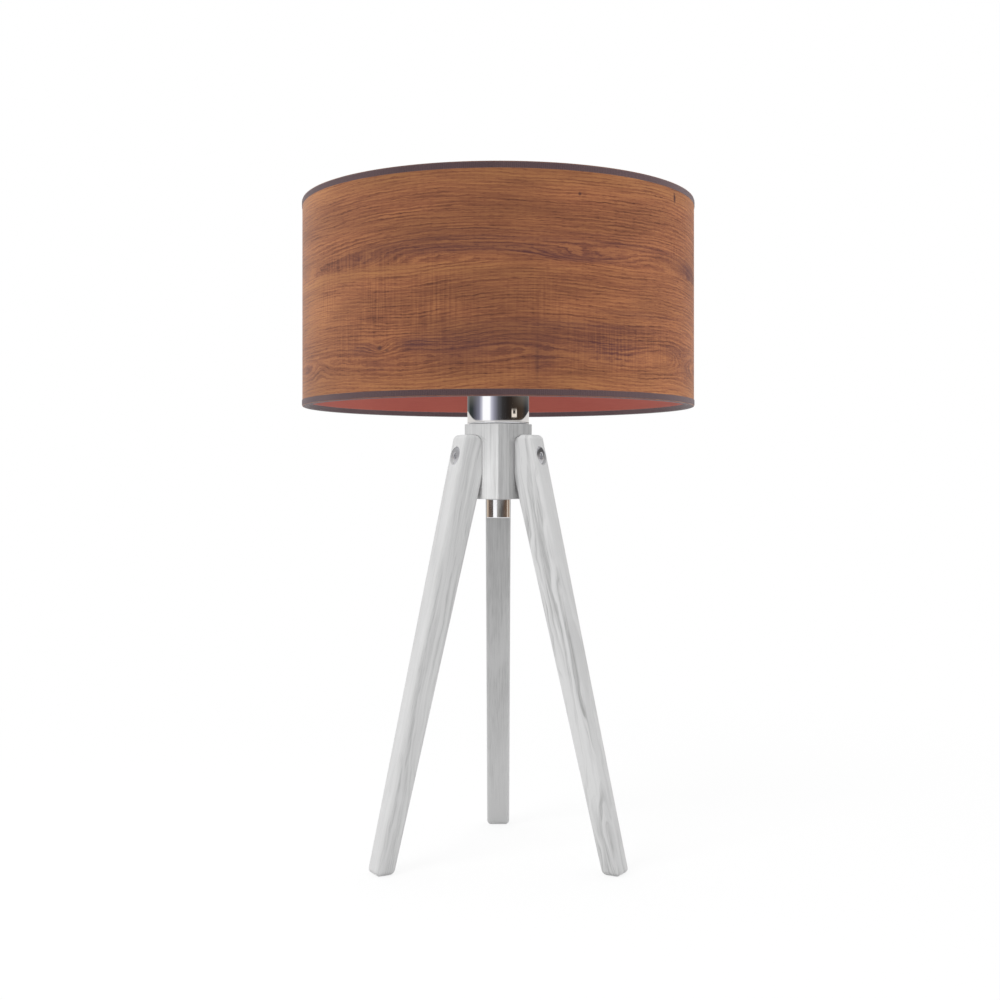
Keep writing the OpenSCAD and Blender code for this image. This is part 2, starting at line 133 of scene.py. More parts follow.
def rounded(corners, radius, steps=4, hold=0.25):
    """A closed outline with its corners rounded.

    Each corner becomes a quarter-like curve: a quadratic Bezier whose ends lie radius along both sides. A
    further point, hold times the radius outside each end, keeps the flat beside it flat when shaded. A corner
    without a radius is one point.
    """
    corners = np.asarray(corners, float)
    before = np.roll(corners, 1, 0) - corners
    after = np.roll(corners, -1, 0) - corners
    len_before = np.linalg.norm(before, axis=1, keepdims=True)
    len_after = np.linalg.norm(after, axis=1, keepdims=True)
    room = np.minimum(len_before, len_after) * 0.4
    cut = np.minimum(room, np.broadcast_to(radius, (len(corners),))[:, None])
    to_before, to_after = before / len_before * cut, after / len_after * cut
    start, end = corners + to_before, corners + to_after
    t = np.linspace(0, 1, steps + 1)[None, :, None]
    curve = (1 - t) ** 2 * start[:, None] + 2 * t * (1 - t) * corners[:, None] + t ** 2 * end[:, None]
    holds = [(corners + way * (1 + hold))[:, None] for way in (to_before, to_after)]
    outline = np.concatenate([holds[0], curve, holds[1]], 1).reshape(-1, 2)
    apart = np.linalg.norm(outline - np.roll(outline, 1, 0), axis=1)
    return outline[apart > NEAR]


# ---------------------------------------------------------------- surfaces

def grid_faces(rows, columns, wrap_rows, wrap_columns):
    """Quads between neighbouring rows and columns of a grid, joined up where it wraps."""
    i = np.arange(rows if wrap_rows else rows - 1)[:, None]
    j = np.arange(columns if wrap_columns else columns - 1)[None, :]
    j1 = (j + 1) % columns
    row, next_row = i * columns, (i + 1) % rows * columns
    return np.stack([row + j, row + j1, next_row + j1, next_row + j], -1).reshape(-1, 4)


def closed_faces(rows, columns):
    """Quads of a grid whose columns wrap, with fans to two poles: one at each end.

    The poles are the two points that follow the grid's own: one before its first row, one after its last.
    """
    j = np.arange(columns)
    j1 = (j + 1) % columns
    last, pole = (rows - 1) * columns, rows * columns
    return (grid_faces(rows, columns, False, True).tolist()
            + np.stack([np.full(columns, pole), j1, j], -1).tolist()
            + np.stack([np.full(columns, pole + 1), last + j, last + j1], -1).tolist())


def revolve(profile, turns=128, radius_change=None, start=BACK):
    """A closed outline of distance and height carried round the lamp's axis.

    x = r cos(a), y = r sin(a), z = z, where r is the outline's distance plus radius_change at that outline
    point and angle. The outline runs anticlockwise, seen with distance to the right, so that faces point out.
    """
    profile = np.asarray(profile, float)
    angle = start + np.linspace(0, 2 * math.pi, turns, endpoint=False)[None, :]
    r = profile[:, :1] + np.zeros_like(angle)
    if radius_change is not None:
        r = r + radius_change(profile, angle)
    z = profile[:, 1:] + np.zeros_like(angle)
    points = np.stack([r * np.cos(angle), r * np.sin(angle), z], -1).reshape(-1, 3)
    return points, grid_faces(len(profile), turns, True, True)


def revolve_closed(profile, turns=96, radius_change=None):
    """An open outline from axis to axis, carried round it as revolve does, with one point at each pole."""
    profile = np.asarray(profile, float)
    points = revolve(profile[1:-1], turns, radius_change, 0.0)[0]
    poles = [[0, 0, profile[0, 1]], [0, 0, profile[-1, 1]]]
    return np.concatenate([points, poles]), closed_faces(len(profile) - 2, turns)


def tube(path, radius, sides=20, cap_steps=4):
    """A round wire along a path, with domed ends half a radius deep.

    Each path point carries a circle square to the path; the circles of the domed ends shrink as the cosine of
    a quarter turn while they move on by its sine.
    """
    path = np.asarray(path, float)
    direction = np.gradient(path, axis=0)
    direction /= np.linalg.norm(direction, axis=1, keepdims=True)
    quarter = np.linspace(0, math.pi / 2, cap_steps + 1)[1:-1]
    dome = radius * 0.5
    caps = [(path[0], -direction[0], quarter[::-1]), (path[-1], direction[-1], quarter)]
    centres = [end + out * dome * np.sin(turn)[:, None] for end, out, turn in caps]
    centres = np.concatenate([centres[0], path, centres[1]])
    tangents = np.concatenate([np.tile(direction[0], (len(quarter), 1)), direction,
                               np.tile(direction[-1], (len(quarter), 1))])
    radii = np.concatenate([radius * np.cos(quarter[::-1]), np.full(len(path), radius),
                            radius * np.cos(quarter)])
    across = np.cross(path[0] - path[-1], path[len(path) // 2] - path[-1])
    if np.linalg.norm(across) < NEAR:
        # A straight path lies in no plane of its own, so a level direction square to it is taken
        across = np.cross(direction[0], UP)
    across /= np.linalg.norm(across)
    side = np.cross(tangents, across)
    turn = np.linspace(0, 2 * math.pi, sides, endpoint=False)[None, :, None]
    circle = np.cos(turn) * across + np.sin(turn) * side[:, None]
    points = (centres[:, None] + radii[:, None, None] * circle).reshape(-1, 3)
    poles = [path[0] - direction[0] * dome, path[-1] + direction[-1] * dome]
    return np.concatenate([points, poles]), closed_faces(len(centres), sides)


def joined(parts):
    """Several surfaces as one list of points and one list of faces."""
    points, faces, count = [], [], 0
    for some_points, some_faces in parts:
        points.append(np.asarray(some_points, float))
        faces += [[int(i) + count for i in face] for face in some_faces]
        count += len(some_points)
    return np.concatenate(points), faces


def stood_along(surface, direction, distance, height):
    """A surface made about +Z from its origin, laid along a leg's direction at that distance and height."""
    points, faces = surface
    out, across = leg_frame(direction)
    laid = points[:, :1] * -UP + points[:, 1:2] * across + points[:, 2:] * out
    return laid + out * distance + UP * height, faces


# ---------------------------------------------------------------- pieces

def settled(name, mesh, material, body, node):
    """A piece of a mesh with its material, which rides on a body and stands for a node."""
    mesh.materials.clear()
    mesh.materials.append(material)
    piece = bpy.data.objects.new(name, mesh)
    bpy.context.scene.collection.objects.link(piece)
    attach(piece, body)
    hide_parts(node)
    return piece


def add_piece(name, surface, body, material, node, seam_metres=None):
    """Makes a mesh piece from a surface.

    With seam_metres, each corner gets a UV of its distance round the drum from the seam at the back, and its
    height, in metres; the corners of the last column read the far side of the seam.
    """
    points, faces = surface
    mesh = bpy.data.meshes.new(name)
    mesh.from_pydata(np.asarray(points).tolist(), [], [list(map(int, face)) for face in faces])
    mesh.update()
    mesh.shade_smooth()
    if seam_metres is not None:
        corner = np.empty(len(mesh.loops), int)
        mesh.loops.foreach_get("vertex_index", corner)
        place = np.asarray(points)[corner]
        turn = np.mod(np.arctan2(place[:, 1], place[:, 0]) - BACK, 2 * math.pi)
        # A point on the seam whose angle came out just below a whole turn is at the seam's near side
        turn[turn > 2 * math.pi - 1e-6] = 0.0
        per_face = turn.reshape(-1, 4)
        crossing = per_face.max(1, keepdims=True) - per_face > math.pi
        per_face[crossing] += 2 * math.pi
        layer = mesh.uv_layers.new(name="round_and_up")
        layer.data.foreach_set("uv", np.stack([per_face.ravel() * seam_metres, place[:, 2]], -1).ravel())
    return settled(name, mesh, material, body, node)


def softened_copy(name, node, body, material, width, segments=3):
    """A merged copy of a CAD node with its sharp edges rounded by a bevel, which then stands for the node."""
    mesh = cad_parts[node].data.copy()
    mesh.name = name
    solid = bmesh.new()
    solid.from_mesh(mesh)
    bmesh.ops.remove_doubles(solid, verts=solid.verts, dist=1e-6)
    bmesh.ops.dissolve_limit(solid, angle_limit=math.radians(0.5), verts=solid.verts, edges=solid.edges)
    for layer in list(solid.loops.layers.uv):
        solid.loops.layers.uv.remove(layer)
    solid.to_mesh(mesh)
    solid.free()
    mesh.shade_smooth()
    mesh.set_sharp_from_angle(angle=CREASE)
    piece = settled(name, mesh, material, body, node)
    bevel = piece.modifiers.new("soft edges", "BEVEL")
    bevel.width = width
    bevel.segments = segments
    bevel.limit_method = "ANGLE"
    bevel.angle_limit = CREASE
    bevel.harden_normals = True
    bevel.use_clamp_overlap = True
    return piece


def store(piece, name, values, kind="FLOAT", key="value"):
    """Keeps a value of every point under a name that materials read."""
    piece.data.attributes.new(name, kind, "POINT").data.foreach_set(key, values)


def keep_place(piece, axes, origin):
    """Stores each point's place along three axes from an origin, in metres, for the grain to follow."""
    place = (vectors(piece.data.vertices, "co") - np.asarray(origin)) @ np.asarray(axes).T
    store(piece, "wood_place", place.ravel(), "FLOAT_VECTOR", "vector")


def keep_facing(piece, direction):
    """Stores how squarely the surface faces a direction at each point: the cosine squared, or nought."""
    store(piece, "outer_face", np.clip(vectors(piece.data.vertex_normals, "vector") @ direction, 0, 1) ** 2)


# ---------------------------------------------------------------- shader nodes

def add(tree, kind, inputs=None, stops=None, to=None, **settings):
    """Adds a shader node, sets its properties, and sets its inputs or links them to other nodes.

    An input may be a value, a node (its first output), or a pair of a node and an output's name. stops gives
    a colour ramp's positions and colours, and to the node and input that its first output goes to.
    """
    node = tree.nodes.new("ShaderNode" + kind)
    for key, value in settings.items():
        setattr(node, key, value)
    for key, value in (inputs or {}).items():
        if isinstance(value, bpy.types.Node):
            tree.links.new(value.outputs[0], node.inputs[key])
        elif isinstance(value, tuple) and isinstance(value[0], bpy.types.Node):
            tree.links.new(value[0].outputs[value[1]], node.inputs[key])
        else:
            node.inputs[key].default_value = value
    if stops:
        ramp = node.color_ramp.elements
        while len(ramp) < len(stops):
            ramp.new(0.5)
        for element, (position, colour) in zip(ramp, stops):
            element.position = position
            element.color = rgba(colour)
    if to:
        tree.links.new(node.outputs[0], to[0].inputs[to[1]])
    return node


def new_material(name, **surface):
    """A material whose Principled shader's sockets get the given values, with its tree and that shader."""
    material = bpy.data.materials.new(name)
    material.use_nodes = True
    tree = material.node_tree
    shader = tree.nodes["Principled BSDF"]
    for key, value in surface.items():
        shader.inputs[key.replace("_", " ")].default_value = value
    return material, tree, shader


def streaks(tree, place, per_metre, detail, roughness=0.5, levels=None):
    """A pattern of streaks or spots: noise stretched to so many to the metre along each axis of a place.

    levels are two values of the noise, and the two between which the pattern goes while it passes them.
    """
    stretched = add(tree, "VectorMath", {0: place, 1: per_metre}, operation="MULTIPLY")
    noise = add(tree, "TexNoise", {"Vector": stretched, "Scale": 1.0, "Detail": detail,
                                   "Roughness": roughness})
    if levels is None:
        return noise
    return add(tree, "MapRange", {"Value": noise, 1: levels[0], 2: levels[1], 3: levels[2], 4: levels[3]})


def weighted(tree, total, parts):
    """A total to which each part is added times its weight."""
    for part, weight in parts:
        total = add(tree, "Math", {0: part, 1: weight, 2: total}, operation="MULTIPLY_ADD")
    return total


def overlaid(tree, colour, layers):
    """A colour with others laid over it in turn, each by its factor."""
    for factor, over in layers:
        mix = add(tree, "Mix", {"Factor": factor, 6: colour, 7: over}, data_type="RGBA")
        colour = (mix, "Result")
    return colour


def mask(tree, total, ramps):
    """A total times a ramp from nought to one for each value, given with where it starts and ends."""
    for value, start, end in ramps:
        ramp = add(tree, "MapRange", {"Value": value, 1: start, 2: end, 3: 0.0, 4: 1.0})
        total = add(tree, "Math", {0: total, 1: ramp}, operation="MULTIPLY")
    return total


def oak_print_material(settings, radius, low):
    """Printed oak on a PVC-backed laminate: satin, with a pale haze at its rims.

    It has grain lines that follow the growth field stored on the drum, short dark pores, golden and mauve
    zones and fine upright saw marks.
    """
    material, tree, shader = new_material(
        "oak_print_on_laminate", Roughness=0.5, Specular_IOR_Level=0.4, Sheen_Weight=0.22,
        Sheen_Roughness=0.35, Sheen_Tint=rgba(linear("#F4E4DE")))
    uv = add(tree, "UVMap", uv_map="round_and_up")
    growth = add(tree, "Attribute", attribute_name="growth_mm")
    tone = add(tree, "Attribute", attribute_name="tone")
    saw = add(tree, "Attribute", attribute_name="saw_marks")
    # The lines wander by up to 1.5 mm over 50 mm round the drum and 12 mm up it, and jitter by about 0.4 mm
    # over 6 mm round and 2 mm up
    wander = streaks(tree, uv, (20, 85, 1), 4.0)
    jitter = streaks(tree, uv, (160, 480, 1), 2.0, 0.6)
    grown = weighted(tree, (growth, "Fac"), ((wander, 4.5), (jitter, 1.5)))
    # A place in the grain: x along a ring in metres, y across the rings in millimetres of growth
    along = add(tree, "SeparateXYZ", {0: uv})
    grain = add(tree, "CombineXYZ", {"X": (along, "X"), "Y": grown})
    # Broad dark bands 9 mm apart, darker stretches 60 mm long, and hairlines 0.9 mm apart and 45 mm long
    band = streaks(tree, grain, (6, 0.11, 0), 1.0, 0.6, (0.38, 0.62, 0.0, 1.0))
    stretch = streaks(tree, grain, (17, 0.35, 0), 3.0, 0.6, (0.38, 0.62, 0.0, 1.0))
    hair = streaks(tree, grain, (22, 1.15, 0), 2.0, 0.6, (0.46, 0.58, 0.0, 1.0))
    # Ring edges 2.2 mm apart: each ring ends in a crisp dark line that is stronger in the darker stretches
    edge = add(tree, "Math", {0: grown, 1: 2.2}, operation="DIVIDE")
    edge = add(tree, "Math", {0: edge}, operation="FRACT")
    edge = add(tree, "ValToRGB", {0: edge}, stops=[
        (0.0, 0.0), (0.4, 0.25), (0.66, 1.0), (0.86, 1.0), (1.0, 0.0)])
    line = add(tree, "Math", {0: stretch, 1: 0.65, 2: 0.35}, operation="MULTIPLY_ADD")
    line = add(tree, "Math", {0: line, 1: edge}, operation="MULTIPLY")
    # Fibre 0.7 mm apart and 28 mm long, and pores 0.8 mm high and 5 mm long
    fibre = streaks(tree, uv, (36, 1500, 1), 3.0, 0.6, (0.38, 0.62, 0.0, 1.0))
    pore = streaks(tree, uv, (190, 1300, 1), 2.0, 0.5, (0.54, 0.66, 0.0, 1.0))
    # Upright saw marks 1.6 mm apart and 40 mm high, where the drum's mask shows them
    saw_line = streaks(tree, uv, (620, 24, 1), 1.0, 0.5, (0.36, 0.64, -1.0, 1.0))
    saw_line = add(tree, "Math", {0: saw_line, 1: (saw, "Fac")}, operation="MULTIPLY")
    dark = weighted(tree, -0.06, ((line, 0.40), (hair, 0.30), (band, 0.10), (fibre, 0.20), (pore, 0.26),
                                  (saw_line, 0.17)))
    colour = add(tree, "ValToRGB", {0: dark}, stops=[
        (0.0, settings.oak_light), (0.48, settings.oak_base), (1.0, settings.oak_dark)])
    # Golden zones, where the tone mask is below nought, and mauve ones, where it is above
    golden = add(tree, "Math", {0: (tone, "Fac"), 1: -0.75}, operation="MULTIPLY", use_clamp=True)
    pale = add(tree, "ValToRGB", {0: dark}, stops=[
        (0.0, settings.oak_golden), (0.55, settings.oak_light), (1.0, settings.oak_base)])
    colour = overlaid(tree, colour, [(golden, pale)])
    # Broad warm and dull zones, 90 mm by 24 mm
    zone = streaks(tree, uv, (11, 42, 1), 2.0, 0.5, (0.35, 0.65, 0.88, 1.1))
    colour = add(tree, "Mix", {"Factor": 1.0, 6: colour, 7: zone}, data_type="RGBA", blend_type="MULTIPLY")
    stain = add(tree, "Math", {0: dark, 1: 0.8, 2: 0.35}, operation="MULTIPLY_ADD")
    stain = add(tree, "Math", {0: stain, 1: (tone, "Fac")}, operation="MULTIPLY", use_clamp=True)
    layers = [(stain, rgba(settings.oak_mauve))]
    for x, v, half_width, half_height, strength in PIN_MARKS_MM:
        place = (math.pi * radius + x * MM, low + v * MM, 0)
        away = add(tree, "VectorMath", {0: uv, 1: place}, operation="SUBTRACT")
        away = add(tree, "VectorMath", {0: away, 1: (1 / (half_width * MM), 1 / (half_height * MM), 0)},
                   operation="MULTIPLY")
        away = add(tree, "VectorMath", {0: away}, operation="LENGTH")
        mark = add(tree, "MapRange", {"Value": (away, "Value"), 1: 0.5, 2: 1.5, 3: strength, 4: 0.0})
        layers.append((mark, rgba(linear("#4C2A2A"))))
    top, result = overlaid(tree, (colour, "Result"), layers)
    tree.links.new(top.outputs[result], shader.inputs["Base Color"])
    # The film is embossed with the same grain, a few hundredths of a millimetre deep
    relief = weighted(tree, 0.0, ((fibre, -0.5), (pore, -0.5)))
    add(tree, "Bump", {"Height": relief, "Strength": 0.35, "Distance": 0.08 * MM}, to=(shader, "Normal"))
    return material


def whitewashed_ash_material(name, settings, figure, wave, grey_tone_and_shade, pith, lean, seed):
    """Planed ash under white-wash and satin lacquer.

    The wash fills the wood but lies thinner in the open earlywood, so the rings show as soft grey streaks
    along the timber. figure is how strongly they show, wave how far they wander in metres, the grey ramp how
    grey the wood starts and how much greyer it gets per metre along it, pith where the rings' centre lies
    across the timber, and lean how far it drifts along it, which makes the streaks run out at the edges. On
    the back leg the grey ramp is painted shade, darker towards its top, where the hub and the other legs
    shade it.
    """
    material, tree, shader = new_material(name, Roughness=0.45, Specular_IOR_Level=0.4)
    place = add(tree, "Attribute", attribute_name="wood_place")
    shifted = add(tree, "VectorMath", {0: (place, "Vector"), 1: (seed, seed * 0.7, seed * 1.3)},
                  operation="ADD")
    # Slow wander of the rings, over 90 mm of length and 25 mm of width
    wander = streaks(tree, shifted, (11, 40, 40), 3.0)
    along = add(tree, "SeparateXYZ", {0: (place, "Vector")})
    # Place across the timber from the rings' centre, which drifts with the length
    drift = add(tree, "VectorMath", {0: (along, "X"), 1: (0, lean[0], lean[1])}, operation="MULTIPLY")
    flat = add(tree, "VectorMath", {0: (place, "Vector"), 1: (0, 1, 1)}, operation="MULTIPLY")
    from_pith = add(tree, "VectorMath", {0: flat, 1: (0, pith[0], pith[1])}, operation="SUBTRACT")
    from_pith = add(tree, "VectorMath", {0: from_pith, 1: drift}, operation="ADD")
    radius = add(tree, "VectorMath", {0: from_pith}, operation="LENGTH")
    radius = add(tree, "Math", {0: wander, 1: wave, 2: (radius, "Value")}, operation="MULTIPLY_ADD")
    # Rings of uneven width, about 4 mm, that fade in and out over 150 mm of length
    ring_place = add(tree, "CombineXYZ", {"X": (along, "X"), "Y": radius, "Z": seed})
    ring = streaks(tree, ring_place, (7, 250, 1), 3.0, 0.55)
    ring = add(tree, "MapRange", {"Value": ring, 1: 0.36, 2: 0.64, 3: 0.0, 4: 1.0},
               interpolation_type="SMOOTHSTEP")
    # Pores 0.7 mm apart and 17 mm long, dense in the earlywood; fibre 1.6 mm apart and 110 mm long; and a
    # cloudy wash, 15 mm by 60 mm
    pore = streaks(tree, shifted, (60, 1500, 1500), 3.0, 0.6, (0.4, 0.68, 0.0, 1.0))
    fibre = streaks(tree, shifted, (9, 620, 620), 5.0, 0.6, (0.32, 0.68, 0.0, 1.0))
    cloud = streaks(tree, shifted, (17, 70, 70), 2.0)
    # A leg's outer face is sanded and washed twice, so that its rings hardly show
    outer = add(tree, "Attribute", attribute_name="outer_face")
    shown = add(tree, "MapRange", {"Value": (outer, "Fac"), 1: 0.3, 2: 0.9, 3: 1.0, 4: 0.38})
    ring = add(tree, "Math", {0: ring, 1: shown}, operation="MULTIPLY")
    pore_weight = add(tree, "Math", {0: ring, 1: 0.6, 2: 0.3}, operation="MULTIPLY_ADD")
    pore = add(tree, "Math", {0: pore, 1: pore_weight}, operation="MULTIPLY")
    # The grey ramp along the timber: on the back leg it is painted shade, darker towards its top
    dark = weighted(tree, grey_tone_and_shade[0], (((along, "X"), grey_tone_and_shade[1]), (ring, figure), (pore, 0.3), (fibre, 0.2),
                                       (cloud, 0.3), ((outer, "Fac"), 0.1)))
    add(tree, "ValToRGB", {0: dark}, to=(shader, "Base Color"), stops=[
        (0.1, settings.wash_light), (0.5, settings.wash_mid), (1.0, settings.wash_grey)])
    # Open pores stay as shallow grooves under the lacquer
    relief = add(tree, "Math", {0: pore, 1: -1.0}, operation="MULTIPLY")
    add(tree, "Bump", {"Height": relief, "Strength": 0.3, "Distance": 0.12 * MM}, to=(shader, "Normal"))
    return material


def binding_tape_material(settings):
    """Woven viscose ribbon: dull, with upright ribs.

    Real ribs are about 0.5 mm apart. These are 1.3 mm apart, because finer ones don't show in the render.
    """
    material, tree, shader = new_material("woven_binding_ribbon", Roughness=0.85, Specular_IOR_Level=0.2,
                                          Sheen_Weight=0.25, Sheen_Roughness=0.5)
    uv = add(tree, "UVMap", uv_map="round_and_up")
    rib_place = add(tree, "VectorMath", {0: uv, 1: (1 / (1.3 * MM), 0, 0)}, operation="MULTIPLY")
    rib = add(tree, "SeparateXYZ", {0: rib_place})
    rib = add(tree, "Math", {0: (rib, "X"), 1: 2 * math.pi}, operation="MULTIPLY")
    rib = add(tree, "Math", {0: rib}, operation="SINE")
    rib = add(tree, "MapRange", {"Value": rib, 1: -1.0, 2: 1.0, 3: 0.0, 4: 1.0})
    # Threads half a millimetre high, and wear over 35 mm
    thread = streaks(tree, uv, (700, 1900, 1), 3.0, 0.6)
    wear = streaks(tree, uv, (28, 60, 1), 2.0)
    # The rib wave makes the grooves between the ribs darker in the colour: painted shade. The thread and wear
    # streaks are the tape's own
    value = weighted(tree, 0.0, ((rib, 0.16), (thread, 0.6), (wear, 0.35)))
    add(tree, "ValToRGB", {0: value}, to=(shader, "Base Color"), stops=[
        (0.2, settings.tape_dark), (0.6, settings.tape_colour), (1.0, settings.tape_light)])
    relief = add(tree, "Math", {0: thread, 1: 0.5, 2: rib}, operation="MULTIPLY_ADD")
    add(tree, "Bump", {"Height": relief, "Strength": 0.5, "Distance": 0.12 * MM}, to=(shader, "Normal"))
    return material


def lining_material(settings):
    """Brick-red satin film laminated to the drum's inside: even but for a faint brushed grain round it."""
    material, tree, shader = new_material("copper_red_lining_film", Roughness=0.5, Specular_IOR_Level=0.4)
    uv = add(tree, "UVMap", uv_map="round_and_up")
    grain = streaks(tree, uv, (60, 1200, 1), 4.0, 0.6)
    cloud = streaks(tree, uv, (18, 40, 1), 2.0)
    value = weighted(tree, 0.0, ((grain, 0.5), (cloud, 0.5)))
    add(tree, "ValToRGB", {0: value}, to=(shader, "Base Color"), stops=[
        (0.25, settings.lining_dark), (0.75, settings.lining_colour)])
    add(tree, "Bump", {"Height": grain, "Strength": 0.12, "Distance": 0.05 * MM}, to=(shader, "Normal"))
    return material


def chrome_material(tint, name="bright_chrome_plate", low=0.008, high=0.016):
    """Nickel-chrome plate on steel: a mirror with the faintest haze, or with more haze a satin that blurs."""
    material, tree, shader = new_material(name, Metallic=1.0, Base_Color=rgba(tint))
    coordinates = add(tree, "TexCoord")
    haze = add(tree, "TexNoise", {"Vector": (coordinates, "Object"), "Scale": 90.0, "Detail": 3.0})
    add(tree, "MapRange", {"Value": haze, 1: 0.3, 2: 0.7, 3: low, 4: high}, to=(shader, "Roughness"))
    return material


def grained_material(name, colour, shade, gloss, per_metre, detail, relief, depth, **surface):
    """One colour with a fine grain.

    Over the grain the tone goes from shade times the colour to the colour, and the roughness between the two
    values of gloss. relief and depth are the bump's strength and its depth in metres.
    """
    material, tree, shader = new_material(name, **surface)
    coordinates = add(tree, "TexCoord")
    grain = add(tree, "TexNoise", {"Vector": (coordinates, "Object"), "Scale": per_metre, "Detail": detail})
    add(tree, "ValToRGB", {0: grain}, to=(shader, "Base Color"), stops=[
        (0.3, tuple(c * shade for c in colour)), (0.7, colour)])
    add(tree, "MapRange", {"Value": grain, 1: 0.3, 2: 0.7, 3: gloss[0], 4: gloss[1]},
        to=(shader, "Roughness"))
    add(tree, "Bump", {"Height": grain, "Strength": relief, "Distance": depth}, to=(shader, "Normal"))
    return material


def metal_material(name, colour, rough_low, rough_high, per_metre):
    """A plain metal part with uneven polish."""
    return grained_material(name, colour, 0.86, (rough_low, rough_high), per_metre, 4.0, 0.08, 0.05 * MM,
                            Metallic=1.0)


def moulded_material(name, colour, roughness, per_metre, relief=0.1):
    """A moulded or coated part with a fine grain."""
    return grained_material(name, colour, 0.9, (roughness - 0.05, roughness + 0.08), per_metre, 3.0, relief,
                            0.08 * MM, Specular_IOR_Level=0.45)


def opal_glass_material():
    """Opal blown glass: white all through, with a wet-looking clear skin."""
    material, tree, shader = new_material("opal_blown_glass", Roughness=0.28, Coat_Weight=1.0,
                                          Coat_Roughness=0.03)
    coordinates = add(tree, "TexCoord")
    cloud = add(tree, "TexNoise", {"Vector": (coordinates, "Object"), "Scale": 30.0, "Detail": 2.0})
    add(tree, "ValToRGB", {0: cloud}, to=(shader, "Base Color"), stops=[
        (0.3, linear("#ECEAE4")), (0.7, linear("#F6F5F1"))])
    return material


# ---------------------------------------------------------------- settings

def colour_property(name, description, code):
    """A colour setting with its default from an sRGB hex code."""
    return bpy.props.FloatVectorProperty(name=name, description=description, subtype="COLOR", size=3,
                                         min=0, max=1, default=linear(code))


def number_property(name, description, default, least, most, **kind):
    """A number setting with its limits; kind gives its unit or subtype, if it has one."""
    return bpy.props.FloatProperty(name=name, description=description, default=default, min=least, max=most,
                                   **kind)


def length_property(name, description, default, least, most):
    """A length setting in metres."""
    return number_property(name, description, default, least, most, unit="LENGTH")


def power_property(name, description, watts):
    """A light's power."""
    return number_property(name, description, watts, 0, 500, subtype="POWER")


class LampShadeSettings(bpy.types.PropertyGroup):
    """Looks of the drum shade."""
    oak_golden: colour_property("Oak, golden", "Golden zones of the printed oak", "#C48A52")
    oak_light: colour_property("Oak, light", "Earlywood of the printed oak", "#B8784C")
    oak_base: colour_property("Oak, base", "Main tone of the printed oak", "#965A3C")
    oak_dark: colour_property("Oak, dark", "Latewood lines of the printed oak", "#5C3020")
    oak_mauve: colour_property("Oak, mauve", "Mauve zones of the printed oak", "#5E3436")
    tape_colour: colour_property("Tape", "Main tone of the binding tape", "#655053")
    tape_dark: colour_property("Tape, dark", "Gaps between the tape's ribs", "#4A3A40")
    tape_light: colour_property("Tape, light", "Crests of the tape's ribs", "#7A6465")
    lining_colour: colour_property("Lining", "Light tone of the lining film", "#C66658")
    lining_dark: colour_property("Lining, dark", "Dark tone of the lining film", "#BA5A4E")
    seam_lap: length_property("Seam lap", "Width of the drum's glued overlap", 10 * MM, 4 * MM, 20 * MM)
    seam_step: length_property("Seam step", "How far the overlap stands out", 0.25 * MM, 0, 0.35 * MM)


class LampStandSettings(bpy.types.PropertyGroup):
    """Looks of the legs, hub and metal."""
    wash_light: colour_property("Wash, light", "White-wash over dense wood", "#EBEBEB")
    wash_mid: colour_property("Wash, middle", "White-wash over open wood", "#DCDCDC")
    wash_grey: colour_property("Wash, grey", "Pores that the wash leaves open", "#B2B2B2")
    chrome_tint: colour_property("Chrome", "Reflection tint of the chrome", "#E6E6E8")
    bolt_tint: colour_property("Bolts", "Reflection tint of the bolts' darker satin plate", "#C6C6C9")
    edge_softness: length_property("Edge softness", "Rounding of the legs' long edges", 3 * MM, 0.5 * MM,
                                   5 * MM)
    foot_rounding: length_property("Foot rounding", "Rounding under the legs' feet", 3.8 * MM, 1 * MM, 5 * MM)
    top_rounding: length_property("Top rounding", "Rounding of the legs' tops", 3.6 * MM, 1 * MM, 4 * MM)


class LampStageSettings(bpy.types.PropertyGroup):
    """The camera and the light."""
    distance: length_property("Camera distance", "From the lamp's axis to the lens", 1.05, 0.6, 4)
    eye_height: length_property("Camera height", "Height of the lens above the table", 0.288, 0.05, 2)
    focal_px: number_property("Focal length in pixels", "For a picture 1000 pixels wide", 1360.4, 500, 5000)
    eye_row: number_property("Horizon row", "Picture row of the lens's own height, of 1000", 482, 0, PICTURE)
    axis_column: number_property("Axis column", "Picture column of the lamp's axis, of 1000", 498.2, 0,
                                 PICTURE)
    key_watts: power_property("Key light", "Power of the soft light at the left", 17)
    fill_watts: power_property("Fill light", "Power of the light at the legs' right", 3.5)
    hub_watts: power_property("Hub light", "Power of the light at the hub's left", 17)
    side_watts: power_property("Drum lights", "Power of the light at each side of the drum", 14)
    ambient: number_property("Room light", "Strength of the even light all round", 0.85, 0, 2)
    behind: number_property("Light behind", "How much stronger the room light is behind, and weaker in front",
                            0.42, 0, 1)


# ---------------------------------------------------------------- shade

def bell(x, centre, width):
    """exp of minus the square of the distance from centre, measured in widths."""
    return np.exp(-((x - centre) / width) ** 2)


def round_distance(x, centre, length):
    """Distance round the drum from a centre, the short way."""
    return np.mod(x - centre + length / 2, length) - length / 2


# Height of the joint between the print's two planks above the drum's lower edge
PLANK_JOINT_MM = 90
# Knots and marks of the print: distance round from the front, height, half width, half height, strength
PIN_MARKS_MM = ((56, 136, 1.1, 1.1, 0.85), (149, 145, 1.4, 3.2, 0.95), (-85, 34, 1.8, 1.6, 0.8),
                (-79, 32, 1.5, 1.0, 0.5), (26, 23, 1.3, 12, 0.3), (-330, 36, 1.6, 1.4, 0.8),
                (305, 118, 1.2, 1.2, 0.8))


def arches(x, height, centres, stretch, girth):
    """Distance from the nearest of some points on the line where height is nought.

    Widths are divided by stretch first, so that equal distances draw long nested arches. Nearest is a soft
    minimum, 3 mm wide.
    """
    soft = 3.0
    near = sum(np.exp(-np.hypot(round_distance(x, centre, girth) / stretch, height) / soft)
               for centre in centres)
    return -soft * np.log(near)


